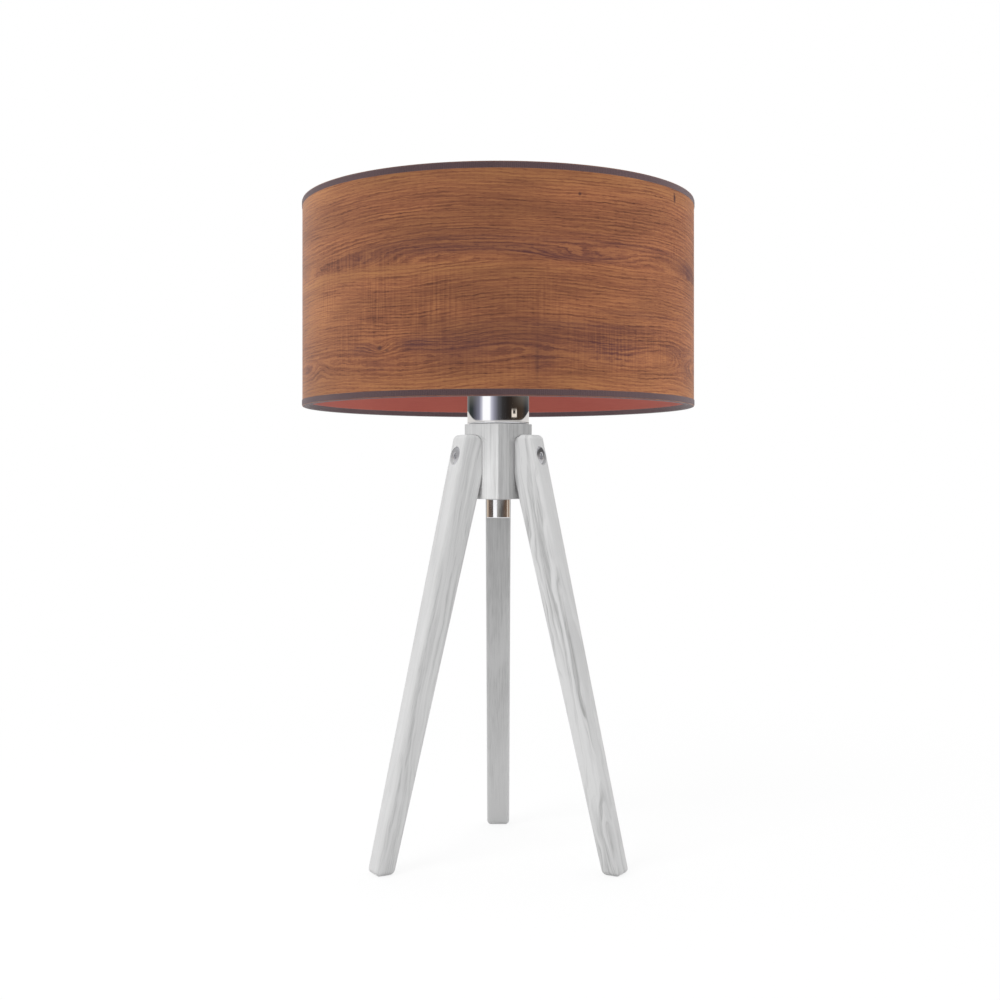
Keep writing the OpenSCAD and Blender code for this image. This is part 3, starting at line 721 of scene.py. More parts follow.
def bells(x, v, girth, places):
    """Sum of two-way bells, each given by its place round and up, its widths that way and its weight."""
    return sum(weight * bell(round_distance(x, at_x, girth), 0, wide) * bell(v, at_v, high)
               for at_x, at_v, wide, high, weight in places)


def print_fields(points, radius, low):
    """Growth field, tone and saw-mark mask of the oak print at each point of the drum.

    x is the distance round the drum from the front in mm, to the right; v the height above its lower edge.
    The print shows two planks. Above, the growth field is the distance from points on their joint, measured
    so that equal distances draw long arches; below, it is the distance from a heart line that waves about
    27 mm up. Bells lift it round the knots. Tone is above nought in mauve zones and below it in golden ones.
    """
    girth = 2 * math.pi * radius / MM
    x = (np.mod(np.arctan2(points[:, 1], points[:, 0]) - BACK, 2 * math.pi) - math.pi) * radius / MM
    v = (points[:, 2] - low) / MM
    s = v - PLANK_JOINT_MM
    above = s > 0
    upper = (arches(x, s, (30, 30 + girth / 2), 12, girth) + 1.2 * np.sin(x / 31)
             + bells(x, s, girth, (
                 (62, 4, 34, 5, 7), (-97, 5, 22, 4, 4), (-330, 6, 50, 6, 8), (300, 5, 30, 5, 6))))
    heart = v - 27 - 2.4 * np.sin(x / 58 + 0.4) - 1.6 * np.sin(x / 23 + 1)
    lower = (100 + 0.95 * np.hypot(heart, 4)
             + bells(x, v, girth, (
                 (-85, 34, 9, 5, 4), (-60, 36, 20, 7, -3), (165, 31, 18, 9, 5), (60, 34, 44, 7, 3),
                 (-150, 22, 12, 8, 3), (-330, 36, 24, 9, 6), (330, 25, 30, 10, 5))))
    front = bell(x, 40, 150)
    mauve = np.where(
        above,
        0.9 * bell(upper, 9, 2.6) * bell(x, 8, 55)
        + 0.55 * bell(upper, 15.5, 2.2) * np.clip(front + 0.1, 0, 1)
        + 0.3 * bell(upper, 20.5, 1.3) * front + 0.2 * bell(upper, 12, 1.3) + bells(x, s, girth, (
            (62, 4, 40, 5, 0.45), (172, 6, 26, 6, 0.65), (-98, 5, 10, 2.0, 0.35), (-60, 9, 40, 4, 0.3),
            (-330, 6, 60, 8, 0.6), (300, 6, 40, 7, 0.5))),
        bells(x, v, girth, (
            (-57, 36, 12, 4, 0.9), (-24, 34, 30, 11, 0.6), (-100, 34, 13, 4, 0.8), (-88, 22, 14, 5, 0.4),
            (82, 31, 26, 8, 0.75), (30, 24, 9, 14, 0.45), (60, 48, 60, 3.5, 0.6), (100, 58, 50, 2, 0.35),
            (150, 36, 18, 5, 0.55), (-172, 24, 14, 7, 0.45), (172, 24, 12, 10, 0.35), (40, 38, 70, 9, 0.35),
            (-330, 34, 50, 9, 0.6), (330, 30, 60, 9, 0.5), (430, 40, 50, 10, 0.4))))
    golden = (0.8 * bell(v, 85.5, 3.8) * np.clip(0.55 - x / 260, 0.15, 1) + 0.55 * bell(v, 148, 8)
              + 0.4 * bell(v, 8, 9) + 0.35 * bell(x, -150, 45) * bell(v, 62, 14) + 0.3 * bell(x, -165, 30))
    saw = 0.12 + bells(x, v, girth, (
        (-142, 72, 10, 14, 0.9), (-88, 62, 16, 22, 0.95), (-42, 60, 20, 24, 0.8), (-118, 40, 12, 16, 0.5),
        (-95, 94, 30, 6, 0.7), (-130, 96, 22, 8, 0.6), (30, 64, 24, 16, 0.45), (75, 36, 26, 14, 0.7),
        (120, 34, 20, 14, 0.6), (160, 108, 24, 10, 0.5), (170, 30, 20, 14, 0.45), (0, 20, 60, 10, 0.3),
        (-300, 60, 60, 30, 0.7), (300, 50, 60, 30, 0.6), (430, 70, 50, 25, 0.6)))
    return {"growth_mm": np.where(above, upper, lower), "tone": np.clip(mauve - golden, -1, 1),
            "saw_marks": np.clip(saw, 0, 1)}


def keep_out_of_reflections(piece):
    """Hides a drum piece from mirrors and from bounced light, so that its red doesn't tint the stand."""
    piece.visible_glossy = False
    piece.visible_diffuse = False


class LAMP_OT_shade_skin(bpy.types.Operator):
    """Drum skin with the oak print: a thin wall carried round the axis, with a glued lap at the back"""
    bl_idname = "lamp.shade_skin"
    bl_label = "Shade skin"

    def execute(self, context):
        settings = context.scene.lamp_shade
        inner, outer, low, high = reach("shade_skin")
        edge = reach("tape_bottom")[2]
        joint = edge + PLANK_JOINT_MM * MM
        # Rows of points a millimetre apart stop just below the planks' joint and start again just above it
        beside = 0.05 * MM
        rows = np.concatenate([np.linspace(low, joint - beside, 92), np.linspace(joint + beside, high, 68)])
        profile = np.concatenate([upright(outer, rows), [[inner, high], [inner, low]]])

        def lap(outline, angle):
            """The outer face steps out over the lap, which starts at the back, within one step of angle."""
            from_back = np.mod(angle - BACK, 2 * math.pi) * outer
            step = np.where((from_back < settings.seam_lap) & (from_back > 0), settings.seam_step, 0.0)
            return step * (outline[:, :1] > (inner + outer) / 2)

        surface = revolve(profile, 480, lap)
        piece = add_piece("shade_oak_print_skin", surface, "shade",
                          oak_print_material(settings, outer, edge), "shade_skin", seam_metres=outer)
        for name, values in print_fields(surface[0], outer, edge).items():
            store(piece, name, values)
        keep_out_of_reflections(piece)
        return {"FINISHED"}


class LAMP_OT_shade_lining(bpy.types.Operator):
    """Lining film inside the drum"""
    bl_idname = "lamp.shade_lining"
    bl_label = "Shade lining"

    def execute(self, context):
        inner, outer, low, high = reach("shade_lining")
        profile = [[outer, low], [outer, high], [inner, high], [inner, low]]
        piece = add_piece("shade_lining_film", revolve(profile, 240), "shade",
                          lining_material(context.scene.lamp_shade), "shade_lining", seam_metres=inner)
        keep_out_of_reflections(piece)
        return {"FINISHED"}


class LAMP_OT_binding_tapes(bpy.types.Operator):
    """Binding tape folded over both edges of the drum and round the wire rings inside it"""
    bl_idname = "lamp.binding_tapes"
    bl_label = "Binding tapes"

    def execute(self, context):
        material = binding_tape_material(context.scene.lamp_shade)
        inner, outer, low, high = reach("tape_bottom")
        skin_outer, lining_inner = reach("shade_skin")[1], reach("shade_lining")[0]
        tall, thick = high - low, outer - skin_outer
        wire_top = reach("ring_bottom")[3] - low
        fold, slack = 1.1 * MM, 0.02 * MM
        # Outline at the lower edge, anticlockwise: down the inside, under the fold and up the outer face
        outline = rounded(
            [[lining_inner - thick * 0.6, wire_top + thick * 1.6], [inner + thick, wire_top + thick],
             [inner, wire_top * 0.62], [inner, fold * 0.4], [inner + fold, 0], [outer - fold, 0],
             [outer, fold * 0.9], [outer, tall], [skin_outer - slack, tall], [skin_outer - slack, thick * 2],
             [inner + thick * 2, thick * 2], [inner + thick * 2, wire_top * 0.6],
             [lining_inner + slack, wire_top + thick * 1.3]],
            [thick * 0.3, thick, thick, fold, fold, fold, fold, thick * 0.45, thick * 0.3, 0, 0, 0, 0])

        def pull(points, angle):
            """The tape lies a few hundredths of a millimetre in and out, as it was drawn round by hand."""
            wave = np.sin(angle * 23 + 0.7) + 0.6 * np.sin(angle * 41) + 0.4 * np.sin(angle * 67 + 2)
            outside = (points[:, :1] > skin_outer) * 1.0
            return -0.02 * MM * (1 + wave) * outside

        surface_low = revolve(outline + [0, low], 360, pull)
        top = reach("tape_top")[3]
        points, faces = revolve(outline * [1, -1] + [0, top], 360, pull)
        surface_high = points, faces[:, ::-1]
        for name, surface, node in (("binding_tape_lower", surface_low, "tape_bottom"),
                                    ("binding_tape_upper", surface_high, "tape_top")):
            piece = add_piece(name, surface, "shade", material, node, seam_metres=outer)
            keep_out_of_reflections(piece)
        return {"FINISHED"}


class LAMP_OT_shade_wires(bpy.types.Operator):
    """Wire rings, the spider's bent arms with their welds, and the stamped fitter ring"""
    bl_idname = "lamp.shade_wires"
    bl_label = "Shade wires"

    def execute(self, context):
        # White powder coat: even, slightly pebbled, half gloss
        coat = moulded_material("white_powder_coat", linear("#E9E8E4"), 0.35, 900.0, 0.2)
        for node in ("ring_bottom", "ring_top"):
            inner, outer, low, high = reach(node)
            turn = np.linspace(0, 2 * math.pi, 20, endpoint=False)
            outline = arc((inner + outer) / 2, (low + high) / 2, (outer - inner) / 2, turn)
            ring = add_piece(node.replace("ring", "wire_ring"), revolve(outline, 240), "shade",
                             coat, node)
            ring.visible_glossy = False
        fitter_inner, fitter_outer, fitter_low, fitter_top = reach("fitter_ring")
        for node, direction in zip(("spider_arm_left", "spider_arm_right", "spider_arm_back"), DIRECTIONS):
            inner, outer, low, high = reach(node)
            wire = (high - fitter_top) / 2
            height, distance, bend = fitter_top + wire, outer - wire, 8 * MM
            corner = arc(distance - bend, height - bend, bend, np.linspace(math.pi / 2, 0, 13))
            inward = np.linspace(inner + wire, distance - bend, 12, endpoint=False)
            down = np.linspace(height - bend, low + wire * 0.5, 8)[1:]
            line = np.concatenate([level(inward, height), corner, upright(distance, down)])
            parts = [tube(stood(line, direction), wire)]
            # Two welds hold the arm on the fitter ring: each one's distance from the axis and half its length
            for r, size in ((fitter_outer - 1.2 * MM, 2.2 * MM), (inner + 2.2 * MM, 2.0 * MM)):
                along = r + np.linspace(-size, size, 7)
                parts.append(weld_bead(stood(level(along, fitter_top + 0.7 * MM), direction), 1.75 * MM))
            arm = add_piece(node + "_wire", joined(parts), "shade", coat, node)
            arm.visible_glossy = False
        profile = rounded([[fitter_inner, fitter_low], [fitter_outer, fitter_low], [fitter_outer, fitter_top],
                           [fitter_inner, fitter_top]], 0.45 * MM)
        add_piece("fitter_ring_plate", revolve(profile, 128), "shade", coat, "fitter_ring")
        return {"FINISHED"}


def weld_bead(spots, radius):
    """A weld: a short fat tube whose radius falls as the cosine of a quarter turn towards both ends."""
    points, faces = tube(spots, radius, sides=12, cap_steps=2)
    middle = spots.mean(0)
    line = spots[-1] - spots[0]
    length = np.linalg.norm(line)
    unit = line / length
    offset = points - middle
    t = offset @ unit
    sideways = offset - t[:, None] * unit
    shrink = np.sqrt(np.clip(1 - (t / (length * 0.5 + radius)) ** 2, 0, 1))
    return middle + t[:, None] * unit + sideways * shrink[:, None], faces


# ---------------------------------------------------------------- stand

def leg_sizes(node, direction):
    """Sizes of a leg read from its CAD node, in distances from the lamp's axis and heights."""
    out, across = leg_frame(direction)
    points = points_of(node)
    distance, aside, height = points @ out, np.abs(points @ across), points[:, 2]
    near = 1e-6
    # How far round the bolt and past the seat its stepped hole is looked for
    round_bolt, past_seat = 9 * MM, 5 * MM
    top = height.max()
    # The heel is the outermost edge, just above the foot's chamfer, and the shoulder is the upper end of the
    # outer face
    heel = height[distance > distance.max() - near].min()
    shoulder = np.argmax(distance + 0.5 * height)
    at_heel = np.abs(height - heel) < near
    seat = distance.min()
    on_seat = height[distance < seat + near]
    washer_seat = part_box("bolt_washers")
    bolt_height = (washer_seat[0].z + washer_seat[1].z) / 2
    from_bolt = np.hypot(aside, height - bolt_height)
    step = distance[(from_bolt < round_bolt) & (distance > seat + past_seat)].min()
    at_step = (np.abs(distance - step) < 10 * near) & (from_bolt < round_bolt)
    return {"top": top, "heel": heel, "shoulder": height[shoulder], "seat": seat,
            "seat_end": on_seat.min(), "seat_fillet": top - on_seat.max(),
            "outer_heel": distance[at_heel].max(), "outer_shoulder": distance[shoulder],
            "inner_heel": distance[at_heel].min(), "half_heel": aside[at_heel].max(),
            "half_top": aside[height > top - near].max(), "bolt_height": bolt_height, "step": step,
            "hole": from_bolt[at_step].min(), "counterbore": from_bolt[at_step].max()}


def rounded_section(outer, inner, half, outer_round, inner_round):
    """A rectangle with rounded corners at each height, anticlockwise seen from above.

    Corner k is a quarter circle from k to k + 1 quarter turns about a centre that lies its radius inside both
    sides, and the sides between the corners are straight.
    """
    quarter = np.linspace(0, 1, 8)
    arcs = []
    for k, (face, sign_r, sign_a, radius) in enumerate((
            (outer, 1, 1, outer_round), (inner, -1, 1, inner_round), (inner, -1, -1, inner_round),
            (outer, 1, -1, outer_round))):
        turn = (k + quarter) * math.pi / 2
        centre_r, centre_a = face - sign_r * radius, sign_a * (half - radius)
        arcs.append(arc(centre_r[:, None], centre_a[:, None], radius[:, None], turn))
    t = np.linspace(0, 1, 8)[None, 1:-1, None]
    around = []
    for k in range(4):
        start, end = arcs[k][:, -1:], arcs[(k + 1) % 4][:, :1]
        around += [arcs[k], start + (end - start) * t]
    return np.concatenate(around, 1)


def leg_surface(leg, direction, edge, foot, crown):
    """A tapered leg with sanded edges, a rounded foot and top, and the cut by which it seats on the hub.

    At each height the section is a rectangle: the outer face, the inner face and half the width each follow a
    straight line in height. Above the seat's end the inner face stands upright, then turns out by a quarter
    circle at its top. Near the foot and the top the other sides draw in by r - sqrt(r^2 - d^2), where r is
    the rounding and d how far the height has gone into it.
    """
    def line(low, low_value, high, high_value):
        """The value at each height of a straight line through two heights and their values."""
        return low_value + (high_value - low_value) * (height - low) / (high - low)

    top, fillet = leg["top"], leg["seat_fillet"]
    quarter = np.linspace(0, math.pi / 2, 10)
    height = np.unique(np.round(np.concatenate([
        foot * (1 - np.cos(quarter)), np.linspace(foot, leg["seat_end"], 64),
        np.linspace(leg["seat_end"], top - fillet, 16), top - fillet + fillet * np.sin(quarter),
        top - crown + crown * np.sin(quarter)]), 7))
    below, above = np.clip(1 - height / foot, 0, 1), np.clip(1 - (top - height) / crown, 0, 1)
    drawn = foot * (1 - np.sqrt(1 - below ** 2)) + crown * (1 - np.sqrt(1 - above ** 2))
    in_fillet = np.clip(height - (top - fillet), 0, fillet)
    slant = line(leg["heel"], leg["inner_heel"], leg["seat_end"], leg["seat"])
    inner = (np.maximum(slant, leg["seat"]) + drawn * (height < leg["seat_end"])
             + fillet - np.sqrt(fillet ** 2 - in_fillet ** 2))
    outer = line(leg["heel"], leg["outer_heel"], leg["shoulder"], leg["outer_shoulder"]) - drawn
    half = line(leg["heel"], leg["half_heel"], top, leg["half_top"]) - drawn
    corner = np.clip(edge - drawn, 0.3 * MM, (outer - inner) / 2 * 0.9)
    # The seat's own edges stay crisp where they meet the hub
    on_seat = np.clip((height - leg["seat_end"]) / (6 * MM), 0, 1)
    seat_corner = np.minimum(corner, 0.8 * MM)
    section = rounded_section(outer, inner, half, corner, corner * (1 - on_seat) + seat_corner * on_seat)
    rows, columns = section.shape[:2]
    local = np.concatenate([section, np.broadcast_to(height[:, None, None], (rows, columns, 1))], 2)
    ends = np.array([[(outer[0] + inner[0]) / 2, 0, height[0]], [(outer[-1] + inner[-1]) / 2, 0, top]])
    local = np.concatenate([local.reshape(-1, 3), ends])
    return local @ np.array([*leg_frame(direction), UP]), closed_faces(rows, columns)


def bored(piece, cutter_surface):
    """Cuts a closed surface out of a piece and keeps what is left as the piece's own mesh."""
    mesh = bpy.data.meshes.new("cutter")
    mesh.from_pydata(np.asarray(cutter_surface[0]).tolist(), [], cutter_surface[1])
    cutter = bpy.data.objects.new("cutter", mesh)
    bpy.context.scene.collection.objects.link(cutter)
    cut = piece.modifiers.new("bore", "BOOLEAN")
    cut.operation = "DIFFERENCE"
    cut.solver = "EXACT"
    cut.object = cutter
    bpy.context.view_layer.update()
    result = bpy.data.meshes.new_from_object(piece.evaluated_get(bpy.context.evaluated_depsgraph_get()))
    whole = piece.data
    piece.modifiers.clear()
    piece.data = result
    result.shade_smooth()
    result.set_sharp_from_angle(angle=math.radians(35))
    bpy.data.meshes.remove(whole)
    bpy.data.objects.remove(cutter)
    bpy.data.meshes.remove(mesh)
    result.name = piece.name


class LAMP_OT_legs(bpy.types.Operator):
    """Three tapered ash legs with sanded edges, a seat cut and a stepped hole for the bolt"""
    bl_idname = "lamp.legs"
    bl_label = "Legs"

    def execute(self, context):
        settings = context.scene.lamp_stand
        # Each leg's timber: strength of the figure, its wander, how grey it starts and gets, where the rings'
        # centre lies, how far that drifts, and a place in the noise. On the back leg the grey ramp is painted
        # shade, darker towards its top, where the hub and the other legs shade it
        woods = {"leg_left": (LEFT, 0.32, 20 * MM, (-0.1, 0.12), (0.012, -0.06), (0.0, 0.02), 0.13),
                 "leg_right": (RIGHT, 0.85, 26 * MM, (-0.6, 1.5), (0.010, -0.045), (0.0, 0.045), 0.41),
                 # Painted shade: this grey ramp darkens the back leg towards its top
                 "leg_back": (BACK, 0.14, 8 * MM, (0.62, -3.0), (0.004, -0.06), (0.0, 0.01), 0.77)}
        for node, (direction, *timber) in woods.items():
            material = whitewashed_ash_material("whitewashed_ash_" + node, settings, *timber)
            leg = leg_sizes(node, direction)
            surface = leg_surface(leg, direction, settings.edge_softness, settings.foot_rounding,
                                  settings.top_rounding)
            piece = add_piece(node + "_ash", surface, "stand", material, node)
            clear = 30 * MM
            hole = revolve_closed([[0, leg["seat"] - clear], [leg["hole"], leg["seat"] - clear],
                                   [leg["hole"], leg["step"]], [leg["counterbore"], leg["step"]],
                                   [leg["counterbore"], leg["step"] + clear], [0, leg["step"] + clear]], 72)
            bored(piece, stood_along(hole, direction, 0, leg["bolt_height"]))
            # The grain's axes: down the leg's middle, across it, and out through it
            out, across = leg_frame(direction)
            middle_top = (leg["seat"] + leg["outer_shoulder"]) / 2
            middle_foot = (leg["inner_heel"] + leg["outer_heel"]) / 2
            along = out * (middle_foot - middle_top) - UP * leg["top"]
            along /= np.linalg.norm(along)
            outward = np.cross(along, across)
            keep_place(piece, (along, across, outward), out * middle_top + UP * leg["top"])
            keep_facing(piece, outward)
            piece.visible_glossy = False
        return {"FINISHED"}


class LAMP_OT_hub(bpy.types.Operator):
    """Hexagonal ash hub with its leg seats"""
    bl_idname = "lamp.hub"
    bl_label = "Hub"

    def execute(self, context):
        settings = context.scene.lamp_stand
        material = whitewashed_ash_material(
            "whitewashed_ash_hub", settings, figure=0.06, wave=6 * MM, grey_tone_and_shade=(0.4, 0.0), pith=(0.05, 0.05),
            lean=(0.0, 0.0), seed=1.9)
        piece = softened_copy("hub_ash", "hub", "stand", material, 0.5 * MM)
        keep_place(piece, ((0, 0, -1), (1, 0, 0), (0, -1, 0)), (0, 0, reach("hub")[3]))
        return {"FINISHED"}


def bolt_surface(head_r, head_h, rim, shank_r, shank_l, socket_af, turns=48):
    """A domed bolt about +Z from under its head, with a hexagonal socket.

    Each ring of the outline has a distance and a height; the socket's rings take the hexagon's distance at
    each angle: half its width across the flats over the cosine of the angle from the nearest flat.
    """
    dome = np.linspace(0, math.pi / 2, 14)
    socket_depth, tip_bevel, head_bevel = 2.0 * MM, 0.6 * MM, 0.25 * MM
    mouth = socket_af / 2 / math.cos(math.pi / 6) + 0.35 * MM
    dome_r = head_r * np.cos(dome)
    dome_z = rim + (head_h - rim) * np.sin(dome)
    kept = dome_r > mouth
    outline = [[0, -shank_l], [shank_r - tip_bevel, -shank_l], [shank_r, -shank_l + tip_bevel],
               [shank_r, -0.2 * MM], [shank_r + 0.2 * MM, 0], [head_r - head_bevel, 0], [head_r, head_bevel]]
    outline += np.stack([dome_r[kept], dome_z[kept]], -1).tolist()
    mouth_z = rim + (head_h - rim) * math.sqrt(1 - (mouth / head_r) ** 2)
    outline += [[mouth, mouth_z]]
    hex_from = len(outline)
    outline += [[0, mouth_z - 0.25 * MM], [0, mouth_z - 0.5 * MM], [0, head_h - socket_depth + 0.2 * MM],
                [-0.3 * MM, head_h - socket_depth], [-socket_af * 0.25, head_h - socket_depth - 0.15 * MM],
                [0, head_h - socket_depth - 0.3 * MM]]

    def hexagon(ring, angle):
        """Adds the hexagon's distance to the socket's rings, whose own distance is an offset from it."""
        nearest = np.mod(angle + math.pi / 6, math.pi / 3) - math.pi / 6
        distance = socket_af / 2 / np.cos(nearest)
        in_socket = (np.arange(len(ring)) >= hex_from - 1)[:, None]
        return np.where(in_socket, distance, 0.0)

    return revolve_closed(np.array(outline), turns, hexagon)


class LAMP_OT_bolts(bpy.types.Operator):
    """Domed bolts with their washers in the legs' counterbores, and the inserts that they screw into"""
    bl_idname = "lamp.bolts"
    bl_label = "Leg bolts"

    def execute(self, context):
        settings = context.scene.lamp_stand
        chrome = chrome_material(settings.bolt_tint, "satin_chrome_plate", 0.34, 0.44)
        points = points_of("leg_bolts")
        back = points[points[:, 1] > abs(points[:, 0]) * 2]
        from_axis, height = back[:, 1], (back[:, 2].max() + back[:, 2].min()) / 2
        sideways = np.hypot(back[:, 0], back[:, 2] - height)
        head_r = sideways.max()
        under_head = from_axis[sideways > head_r * 0.98].min()
        shank_l = under_head - from_axis.min()
        rim = from_axis[sideways > head_r * 0.98].max() - under_head
        shank_r, socket_af = 3.0 * MM, 4.0 * MM
        surface = bolt_surface(head_r, from_axis.max() - under_head, rim, shank_r, shank_l, socket_af)
        bolts = [stood_along(surface, direction, under_head, height) for direction in DIRECTIONS]
        add_piece("domed_leg_bolts", joined(bolts), "stand", chrome, "leg_bolts")
        softened_copy("bolt_washers_plated", "bolt_washers", "stand", chrome, 0.2 * MM, 2)
        brass = metal_material("turned_brass", linear("#C9A35A"), 0.22, 0.38, 500.0)
        softened_copy("threaded_inserts_brass", "threaded_inserts", "stand", brass, 0.2 * MM, 2)
        return {"FINISHED"}


class LAMP_OT_chrome_cup(bpy.types.Operator):
    """Drawn chrome cup with a rounded lower edge and a rolled rim"""
    bl_idname = "lamp.chrome_cup"
    bl_label = "Chrome cup"

    def execute(self, context):
        hole, outer, low, high = reach("chrome_cup")
        wall, bottom, hold = 1.0 * MM, 1.4 * MM, 0.4 * MM
        inner, inside, rim_z = outer - wall, bottom - wall, high - wall / 2
        turn = np.linspace(-math.pi / 2, 0, 10)
        profile = np.concatenate([
            [[hole, low], [outer - bottom - hold, low]], arc(outer - bottom, low + bottom, bottom, turn),
            [[outer, low + bottom + hold], [outer, rim_z - hold]],
            arc(outer - wall / 2, rim_z, wall / 2, np.linspace(0, math.pi, 8)),
            [[inner, rim_z - hold], [inner, low + bottom + hold]],
            arc(inner - inside, low + wall + inside, inside, turn[::-1]),
            [[inner - inside - hold, low + wall], [hole, low + wall]]])
        add_piece("lampholder_cup_chrome", revolve(profile, 192), "stand",
                  chrome_material(context.scene.lamp_stand.chrome_tint), "chrome_cup")
        return {"FINISHED"}


class LAMP_OT_outlet_sleeve(bpy.types.Operator):
    """Chrome sleeve under the hub, where the lead would come out"""
    bl_idname = "lamp.outlet_sleeve"
    bl_label = "Outlet sleeve"

    def execute(self, context):
        bore, outer, low, high = reach("outlet_sleeve")
        thread = reach("nipple")[1] + 0.05 * MM
        nipple_end = reach("nipple")[2] - 0.1 * MM
        corners = [[bore, low], [outer, low], [outer, high], [thread, high], [thread, nipple_end],
                   [bore, nipple_end]]
        radii = np.array([0.3, 0.35, 0.5, 0.2, 0.1, 0.1]) * MM
        # Handled more than the cup, its plate is a little hazier
        chrome = chrome_material(context.scene.lamp_stand.chrome_tint, "handled_chrome_plate", 0.05, 0.09)
        add_piece("outlet_sleeve_chrome", revolve(rounded(corners, radii, 6), 128), "stand",
                  chrome, "outlet_sleeve")
        return {"FINISHED"}


def helix(depth, pitch, from_z, to_z, face_distance):
    """Radius change of a rounded thread on the outline's points at face_distance.

    It is minus half the depth times one less the cosine of the angle from the helix, faded at both ends.
    """
    def change(outline, angle):
        z = outline[:, 1:]
        phase = 2 * math.pi * z / pitch - angle
        fade = np.clip((z - from_z) / (pitch * 0.5), 0, 1) * np.clip((to_z - z) / (pitch * 0.5), 0, 1)
        on_face = np.abs(outline[:, :1] - face_distance) < 0.05 * MM
        return -depth / 2 * (1 - np.cos(phase)) * fade * on_face
    return change


class LAMP_OT_lampholder(bpy.types.Operator):
    """Screw lampholder: threaded skirt, cap, terminal block, brass shell, contact and both shade rings"""
    bl_idname = "lamp.lampholder"
    bl_label = "Lampholder"

    def execute(self, context):
        # Black phenolic, compression moulded: deep black with a soft gloss
        black = moulded_material("black_phenolic_moulding", linear("#1B1A19"), 0.32, 260.0)
        brass = metal_material("pressed_brass", linear("#CBA75E"), 0.2, 0.36, 350.0)
        # Unglazed steatite: off-white and dull
        ceramic = moulded_material("steatite_ceramic", linear("#E8E4D8"), 0.62, 420.0, 0.25)
        inner, outer, low, high = reach("holder_skirt")
        corner = 0.4 * MM
        rows = np.linspace(low + 0.6 * MM, high - 0.6 * MM, 110)
        profile = np.concatenate([[[inner + corner, low], [outer - corner, low]], upright(outer, rows),
                                  [[outer - corner, high], [inner + corner, high], [inner, high - corner],
                                   [inner, low + corner]]])
        add_piece("holder_skirt_threaded", revolve(profile, 120, helix(0.7 * MM, 2.5 * MM, low, high, outer)),
                  "stand", black, "holder_skirt")
        softened_copy("holder_cap_moulded", "holder_cap", "stand", black, 0.4 * MM)
        softened_copy("terminal_block_ceramic", "terminal_block", "stand", ceramic, 0.4 * MM)
        softened_copy("centre_contact_brass", "centre_contact", "stand", brass, 0.12 * MM, 2)
        softened_copy("terminal_screws_brass", "terminal_screws", "stand", brass, 0.2 * MM, 2)
        self.screw_shell(brass)
        self.shade_rings(black)
        return {"FINISHED"}

    def screw_shell(self, brass):
        """Brass shell whose wall is pressed into a coarse rounded thread"""
        hole, outer, low, high = reach("screw_shell")
        wall = 0.4 * MM
        rows = np.linspace(low + wall, high, 70)
        profile = np.concatenate([
            [[hole, low], [outer - wall, low]], upright(outer, rows), upright(outer - wall, rows[::-1]),
            [[hole, low + wall]]])

        def pressed(outline, angle):
            """Both faces swell outwards between the thread's turns, by up to 0.2 mm inside the outer wall."""
            z = outline[:, 1:]
            fade = np.clip((z - low) / (2 * MM), 0, 1)
            wave = 0.5 * (1 - np.cos(2 * math.pi * z / (3.6 * MM) - angle))
            return -0.2 * MM * wave * fade * (outline[:, :1] > outer - 2 * wall)

        add_piece("screw_shell_brass", revolve(profile, 96, pressed), "stand", brass, "screw_shell")

    def shade_rings(self, black):
        """Threaded rings with finger ribs round the outside: their radius swells and sinks 30 times a turn"""
        for node, body in (("lower_ring", "stand"), ("upper_ring", "clamp")):
            bore, outer, low, high = reach(node)
            middle = np.linspace(low + 0.9 * MM, high - 0.9 * MM, 6)
            bevel = 0.3 * MM
            profile = np.concatenate([
                [[bore + bevel, low], [outer - 1.5 * MM, low], [outer - 0.7 * MM, low + 0.2 * MM]],
                upright(outer, middle),
                [[outer - 0.7 * MM, high - 0.2 * MM], [outer - 1.5 * MM, high], [bore + bevel, high],
                 [bore, high - bevel], [bore, low + bevel]]])

            def ribs(outline, angle):
                """Minus a rounded groove at each of 30 places, on the outer face alone."""
                groove = np.clip(np.cos(angle * 30), -0.4, 1)
                return -0.35 * MM * (1 - groove) * (outline[:, :1] > outer - 0.8 * MM)

            add_piece(node + "_ribbed", revolve(profile, 360, ribs), body, black, node)


class LAMP_OT_nipple(bpy.types.Operator):
    """Hollow threaded nipple and its nut, inside hub and cup"""
    bl_idname = "lamp.nipple"
    bl_label = "Nipple and nut"

    def execute(self, context):
        # Zinc-plated steel, turned: grey and half bright
        zinc = metal_material("zinc_plated_steel", linear("#B9BBBD"), 0.25, 0.42, 300.0)
        bore, outer, low, high = reach("nipple")
        corner = 0.5 * MM
        rows = np.linspace(low + corner, high - corner, 420)
        profile = np.concatenate([[[bore, low], [outer - corner, low]], upright(outer, rows),
                                  [[outer - corner, high], [bore, high]]])
        threaded = revolve(profile, 64, helix(0.5 * MM, 1.0 * MM, low, high, outer))
        add_piece("nipple_threaded", threaded, "stand", zinc, "nipple")
        softened_copy("nipple_nut_plated", "nipple_nut", "stand", zinc, 0.4 * MM)
        return {"FINISHED"}


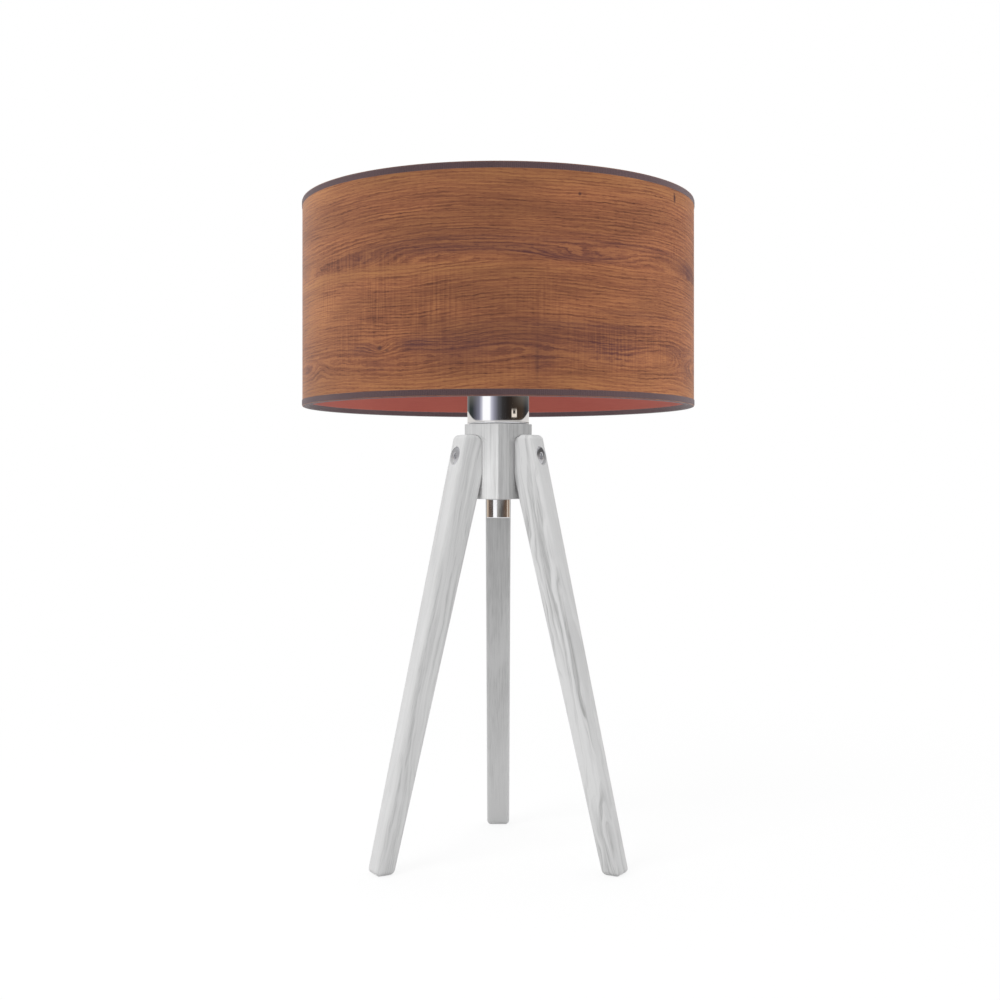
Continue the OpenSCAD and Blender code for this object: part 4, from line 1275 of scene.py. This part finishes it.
class LAMP_OT_bulb(bpy.types.Operator):
    """Opal bulb with its threaded cap, black glass insulator and soldered tip"""
    bl_idname = "lamp.bulb"
    bl_label = "Bulb"

    def execute(self, context):
        _, widest, low, high = reach("bulb_glass")
        cap_outer = reach("bulb_cap")[1]
        crown = high - widest
        wall = 0.9 * MM
        t = np.linspace(0, 1, 60)
        shoulder = np.stack([cap_outer + (widest - cap_outer) / 2 * (1 - np.cos(math.pi * t)),
                             low + (crown - low) * t], -1)
        turn = np.linspace(0, math.pi / 2, 40)[1:-1]
        outside = np.concatenate([shoulder, arc(0, crown, widest, turn)])
        inside = np.concatenate([shoulder - [wall, 0], arc(0, crown, widest - wall, turn)])
        outline = np.concatenate([[[0, high - wall]], inside[::-1], outside, [[0, high]]])
        glass = revolve_closed(outline, 128)
        add_piece("bulb_glass_opal", glass, "bulb", opal_glass_material(), "bulb_glass")

        # Nickel-plated cap: bright but soft
        nickel = metal_material("nickel_plated_cap", linear("#C8C6C0"), 0.18, 0.3, 250.0)
        bore, outer, cap_low, cap_high = reach("bulb_cap")
        cone, metal = 3.0 * MM, 0.5 * MM
        rows = np.linspace(cap_low + cone, cap_high - 0.3 * MM, 110)
        profile = np.concatenate([
            [[bore, cap_low], [outer - cone, cap_low]], upright(outer, rows),
            [[outer - metal, cap_high], [outer - 3 * metal, cap_high - metal],
             [outer - 3 * metal, cap_low + cone + metal], [outer - cone - metal, cap_low + metal],
             [bore, cap_low + metal]]])
        threaded = revolve(profile, 96, helix(0.9 * MM, 3.6 * MM, cap_low + cone, cap_high - 2 * MM, outer))
        add_piece("bulb_cap_threaded", threaded, "bulb", nickel, "bulb_cap")

        # Vitrite: black glass, glossy
        vitrite = moulded_material("black_vitrite_glass", linear("#141316"), 0.15, 200.0, 0.05)
        softened_copy("bulb_insulator_vitrite", "bulb_insulator", "bulb", vitrite, 0.3 * MM)
        # Soldered tip: a low dome of bright tin over brass
        solder = metal_material("tinned_contact", linear("#BDB9AE"), 0.25, 0.4, 700.0)
        _, tip_r, tip_low, tip_high = reach("bulb_contact")
        turn = np.linspace(0, math.pi / 2, 12)
        dome = np.stack([tip_r * np.sin(turn), tip_high - (tip_high - tip_low) * np.cos(turn)], -1)
        tip = np.concatenate([dome, [[tip_r * 0.5, tip_high], [0, tip_high]]])
        add_piece("bulb_contact_soldered", revolve_closed(tip, 48), "bulb", solder, "bulb_contact")
        return {"FINISHED"}


# ---------------------------------------------------------------- stage

def floor_material():
    """White seamless floor.

    To the camera and in mirrors it is white with the lamp's soft shadow on it, and pure white from 0.9 m out.
    To the light it is plain matt light grey.
    """
    material = bpy.data.materials.new("white_studio_floor")
    material.use_nodes = True
    tree = material.node_tree
    tree.nodes.clear()
    path = add(tree, "LightPath")
    seen = add(tree, "Math", {0: (path, "Is Camera Ray"), 1: (path, "Is Glossy Ray")}, operation="MAXIMUM")
    seen = add(tree, "Math", {0: seen, 1: (path, "Is Transmission Ray")}, operation="MAXIMUM")
    paint = add(tree, "MapRange", {"Value": seen, 1: 0.0, 2: 1.0, 3: 0.62, 4: 1.0})
    matt = add(tree, "BsdfDiffuse", {"Color": paint})
    white = add(tree, "Emission", {"Color": (1, 1, 1, 1), "Strength": 1.0})
    coordinates = add(tree, "TexCoord")
    away = add(tree, "VectorMath", {0: (coordinates, "Object")}, operation="LENGTH")
    far = add(tree, "MapRange", {"Value": (away, "Value"), 1: 0.25, 2: 0.9, 3: 0.82, 4: 1.0},
              interpolation_type="SMOOTHSTEP")
    factor = add(tree, "Math", {0: seen, 1: far}, operation="MULTIPLY")
    mix = add(tree, "MixShader", {0: factor, 1: matt, 2: white})
    add(tree, "OutputMaterial", {"Surface": mix})
    return material


def studio_world(world, ambient, behind):
    """White to the camera, a soft light to matt surfaces that is stronger from behind, a studio to mirrors.

    The studio is a tall soft box ahead on the left, dim walls elsewhere, a small window of light ahead on the
    right, white paper behind and low down, and a pale ceiling. Its angle is measured from the front, to the
    right, in turns from 0 to 1 with the front at 0.5; its height is the direction's rise, from -1 to 1.
    """
    world.use_nodes = True
    tree = world.node_tree
    tree.nodes.clear()
    coordinates = add(tree, "TexCoord")
    axes = add(tree, "SeparateXYZ", {0: (coordinates, "Generated")})
    height = (axes, "Z")
    forward = add(tree, "Math", {0: (axes, "Y"), 1: -1.0}, operation="MULTIPLY")
    angle = add(tree, "Math", {0: (axes, "X"), 1: forward}, operation="ARCTAN2")
    turn = add(tree, "MapRange", {"Value": angle, 1: -math.pi, 2: math.pi, 3: 0.0, 4: 1.0})
    aside = add(tree, "Math", {0: turn, 1: 0.5}, operation="SUBTRACT")
    aside = add(tree, "Math", {0: aside}, operation="ABSOLUTE")
    # What the cup mirrors, all round
    room = add(tree, "ValToRGB", {0: turn}, stops=[
        (0.0, 0.30), (0.10, (0.10, 0.11, 0.11)), (0.14, (0.03, 0.036, 0.034)), (0.19, (0.035, 0.04, 0.042)),
        (0.235, (0.09, 0.09, 0.11)), (0.29, (0.20, 0.20, 0.25)), (0.325, (0.55, 0.55, 0.62)), (0.34, 1.0),
        (0.41, 1.0), (0.43, (0.5, 0.5, 0.58)), (0.46, (0.26, 0.26, 0.31)), (0.50, (0.09, 0.09, 0.10)),
        (0.545, (0.035, 0.033, 0.033)), (0.60, (0.022, 0.018, 0.016)), (0.70, (0.04, 0.028, 0.02)),
        (0.78, (0.055, 0.04, 0.028)), (0.84, 0.03), (0.90, (0.05, 0.055, 0.06)), (1.0, 0.30)])
    # The window of light: 48 to 70 degrees to the right, from 2.8 to 3.1 degrees up, with a dark pane in it
    window = mask(tree, 1.0, ((turn, 0.640, 0.646), (turn, 0.708, 0.700), (height, 0.0474, 0.0478),
                              (height, 0.0542, 0.0522)))
    pane = mask(tree, 1.0, ((turn, 0.656, 0.660), (turn, 0.690, 0.686), (height, 0.0499, 0.0503)))
    pane = add(tree, "Math", {0: pane, 1: window}, operation="MULTIPLY")
    # Height of the white paper's edge above each direction, which rises a little at both sides
    rise = add(tree, "MapRange", {"Value": aside, 1: 0.24, 2: 0.46, 3: 0.0455, 4: 0.0522},
               interpolation_type="SMOOTHSTEP")
    paper = add(tree, "Math", {0: rise, 1: height}, operation="SUBTRACT")
    walls = add(tree, "ValToRGB", {0: turn}, stops=[
        (0.0, 0.5), (0.62, 0.5), (0.70, 0.07), (0.97, 0.07), (1.0, 0.5)])
    timber = add(tree, "ValToRGB", {0: turn}, stops=[
        (0.0, (0.5, 0.42, 0.34)), (0.16, (0.5, 0.40, 0.31)), (0.20, (0.13, 0.09, 0.065)),
        (0.35, (0.05, 0.035, 0.028)), (0.362, 1.0), (0.455, 1.0), (0.475, (0.34, 0.33, 0.31)),
        (0.53, (0.17, 0.165, 0.15)), (0.60, (0.06, 0.053, 0.047)), (0.67, (0.09, 0.062, 0.045)),
        (0.775, (0.15, 0.098, 0.066)), (0.785, (0.7, 0.6, 0.5)), (0.81, (0.7, 0.6, 0.5)),
        (0.82, (0.14, 0.085, 0.055)), (0.86, (0.3, 0.22, 0.16)), (0.89, (0.5, 0.41, 0.33)),
        (1.0, (0.5, 0.42, 0.34))])
    room = overlaid(tree, room, (
        # Higher up both sides get paler
        (mask(tree, 0.5, ((height, 0.054, 0.064), (aside, 0.14, 0.3))), rgba((0.22, 0.21, 0.19))),
        (window, rgba((0.78, 0.70, 0.60))),
        (pane, rgba((0.05, 0.045, 0.04))),
        (mask(tree, 1.0, ((paper, 0.0, 0.0006),)), rgba((0.66, 0.64, 0.61))),
        # Below and above that strip, what the bolts mirror: pale walls on the left, dark ones on the right
        (mask(tree, 1.0, ((height, 0.044, 0.040),)), walls),
        (mask(tree, 1.0, ((height, 0.075, 0.09),)), walls),
        # Below the level of the lens the sleeve mirrors a warmer, timber-walled room
        (mask(tree, 1.0, ((height, 0.0, -0.008),)), timber),
        # Overhead the room is pale, so rims and domes catch light
        (mask(tree, 1.0, ((height, 0.35, 0.75),)), rgba((0.7, 0.7, 0.71)))))
    path = add(tree, "LightPath")
    mirror = add(tree, "Background", {"Color": room, "Strength": 1.25})
    strength = add(tree, "Math", {0: (axes, "Y"), 1: behind, 2: ambient}, operation="MULTIPLY_ADD")
    even = add(tree, "Background", {"Color": (1, 1, 1, 1), "Strength": strength})
    white = add(tree, "Background", {"Color": (1, 1, 1, 1), "Strength": 1.0})
    surface = add(tree, "MixShader", {0: (path, "Is Glossy Ray"), 1: even, 2: mirror})
    shown = add(tree, "Math", {0: (path, "Is Camera Ray"), 1: (path, "Is Transmission Ray")},
                operation="MAXIMUM")
    surface = add(tree, "MixShader", {0: shown, 1: surface, 2: white})
    add(tree, "OutputWorld", {"Surface": surface})


def soft_light(name, place, target, size, watts):
    """A square soft white light at a place, turned to a target, that neither mirrors nor the camera show."""
    light = bpy.data.lights.new(name, "AREA")
    light.shape = "SQUARE"
    light.size = size
    light.energy = watts
    lamp = bpy.data.objects.new(name, light)
    lamp.location = place
    aim = np.array(target) - np.array(place)
    yaw = math.atan2(aim[1], aim[0]) - math.pi / 2
    pitch = math.atan2(aim[2], math.hypot(aim[0], aim[1])) + math.pi / 2
    lamp.rotation_euler = (pitch, 0, yaw)
    lamp.visible_glossy = False
    lamp.visible_camera = False
    bpy.context.scene.collection.objects.link(lamp)
    return lamp


def linked_pieces(name, pieces, state):
    """A collection for light linking that takes the named pieces in, or leaves them out."""
    group = bpy.data.collections.new(name)
    for piece in pieces:
        group.objects.link(bpy.data.objects[piece])
    for item in group.collection_objects:
        item.light_linking.link_state = state
    return group

def floor_surface():
    """A level disc about the origin: 12 rings of 48 points, half a metre apart, and one in the middle."""
    rings, sides = 12, 48
    distance = np.linspace(0, 6.0, rings + 1)[1:, None]
    angle = np.linspace(0, 2 * math.pi, sides, endpoint=False)[None, :]
    points = np.stack([distance * np.cos(angle), distance * np.sin(angle), np.zeros((rings, sides))], -1)
    j = np.arange(sides)
    faces = grid_faces(rings, sides, False, True)[:, ::-1].tolist()
    faces += np.stack([np.full(sides, rings * sides), j, (j + 1) % sides], -1).tolist()
    return np.concatenate([points.reshape(-1, 3), [[0, 0, 0]]]), faces


DRUM = ("shade_oak_print_skin", "shade_lining_film", "binding_tape_lower", "binding_tape_upper")
# Each light's name, place, size, power setting, share of that power, and the only pieces that it lights. The
# key light names none: it lights all but the back leg and the drum, and the drum doesn't shade the stand from
# it. The hub sits deep between the legs, so its left side has a light of its own, and so have the front legs'
# right sides and both sides of the drum.
LIGHTS = (("key_left", (-1.18, -1.31, 1.78), 1.1, "key_watts", 1, ()),
          ("hub_left", (-1.55, -1.2, 0.7), 0.8, "hub_watts", 1, ("hub_ash",)),
          ("legs_right", (1.8, -1.04, 0.8), 1.0, "fill_watts", 1, ("leg_left_ash", "leg_right_ash")),
          ("drum_left", (-2.16, -0.38, 0.5), 0.9, "side_watts", 0.85, DRUM),
          ("drum_right", (2.16, -0.38, 0.5), 0.9, "side_watts", 1.35, DRUM))


class LAMP_OT_stage(bpy.types.Operator):
    """White floor, soft light, studio reflections and the camera"""
    bl_idname = "lamp.stage"
    bl_label = "Stage"

    def execute(self, context):
        settings = context.scene.lamp_stage
        points, faces = floor_surface()
        mesh = bpy.data.meshes.new("studio_floor")
        mesh.from_pydata(points.tolist(), [], faces)
        mesh.materials.append(floor_material())
        floor = bpy.data.objects.new("studio_floor", mesh)
        context.scene.collection.objects.link(floor)
        world = bpy.data.worlds.new("white_studio")
        context.scene.world = world
        studio_world(world, settings.ambient, settings.behind)
        lamp_middle = (0, 0, 0.3)
        for name, place, size, power, share, lit in LIGHTS:
            light = soft_light(name, place, lamp_middle, size, getattr(settings, power) * share)
            linking = light.light_linking
            if lit:
                linking.receiver_collection = linked_pieces("lit_by_" + name, lit, "INCLUDE")
            else:
                linking.receiver_collection = linked_pieces("out_of_key", (*DRUM, "leg_back_ash"), "EXCLUDE")
                linking.blocker_collection = linked_pieces("clear_for_key", DRUM, "EXCLUDE")
        data = bpy.data.cameras.new("photo_view")
        data.sensor_width = 36
        data.lens = settings.focal_px * data.sensor_width / PICTURE
        data.shift_x = (PICTURE / 2 - settings.axis_column) / PICTURE
        data.shift_y = (settings.eye_row - PICTURE / 2) / PICTURE
        data.clip_end = 100
        camera = bpy.data.objects.new("photo_view", data)
        camera.location = (0, -settings.distance, settings.eye_height)
        camera.rotation_euler = (math.pi / 2, 0, 0)
        context.scene.collection.objects.link(camera)
        context.scene.camera = camera
        context.scene.view_settings.view_transform = "Standard"
        return {"FINISHED"}


# ---------------------------------------------------------------- add-on

OPERATORS = (LAMP_OT_shade_skin, LAMP_OT_shade_lining, LAMP_OT_binding_tapes, LAMP_OT_shade_wires,
             LAMP_OT_legs, LAMP_OT_hub, LAMP_OT_bolts, LAMP_OT_chrome_cup, LAMP_OT_outlet_sleeve,
             LAMP_OT_lampholder, LAMP_OT_nipple, LAMP_OT_bulb, LAMP_OT_stage)


class LAMP_PT_build(bpy.types.Panel):
    """Lists the lamp's pieces and their settings"""
    bl_idname = "LAMP_PT_build"
    bl_label = "Tripod table lamp"
    bl_space_type = "VIEW_3D"
    bl_region_type = "UI"
    bl_category = "Lamp"

    def draw(self, context):
        for operator in OPERATORS:
            self.layout.operator(operator.bl_idname)
        for group in (context.scene.lamp_shade, context.scene.lamp_stand, context.scene.lamp_stage):
            box = self.layout.box()
            for name in group.__annotations__:
                box.prop(group, name)


CLASSES = (LampShadeSettings, LampStandSettings, LampStageSettings, *OPERATORS, LAMP_PT_build)


def register():
    for cls in CLASSES:
        bpy.utils.register_class(cls)
    bpy.types.Scene.lamp_shade = bpy.props.PointerProperty(type=LampShadeSettings)
    bpy.types.Scene.lamp_stand = bpy.props.PointerProperty(type=LampStandSettings)
    bpy.types.Scene.lamp_stage = bpy.props.PointerProperty(type=LampStageSettings)


def unregister():
    del bpy.types.Scene.lamp_shade, bpy.types.Scene.lamp_stand, bpy.types.Scene.lamp_stage
    for cls in reversed(CLASSES):
        bpy.utils.unregister_class(cls)


def main():
    """Builds every piece and the stage."""
    register()
    for operator in OPERATORS:
        group, name = operator.bl_idname.split(".")
        getattr(getattr(bpy.ops, group), name)()


if __name__ == "__main__":
    main()
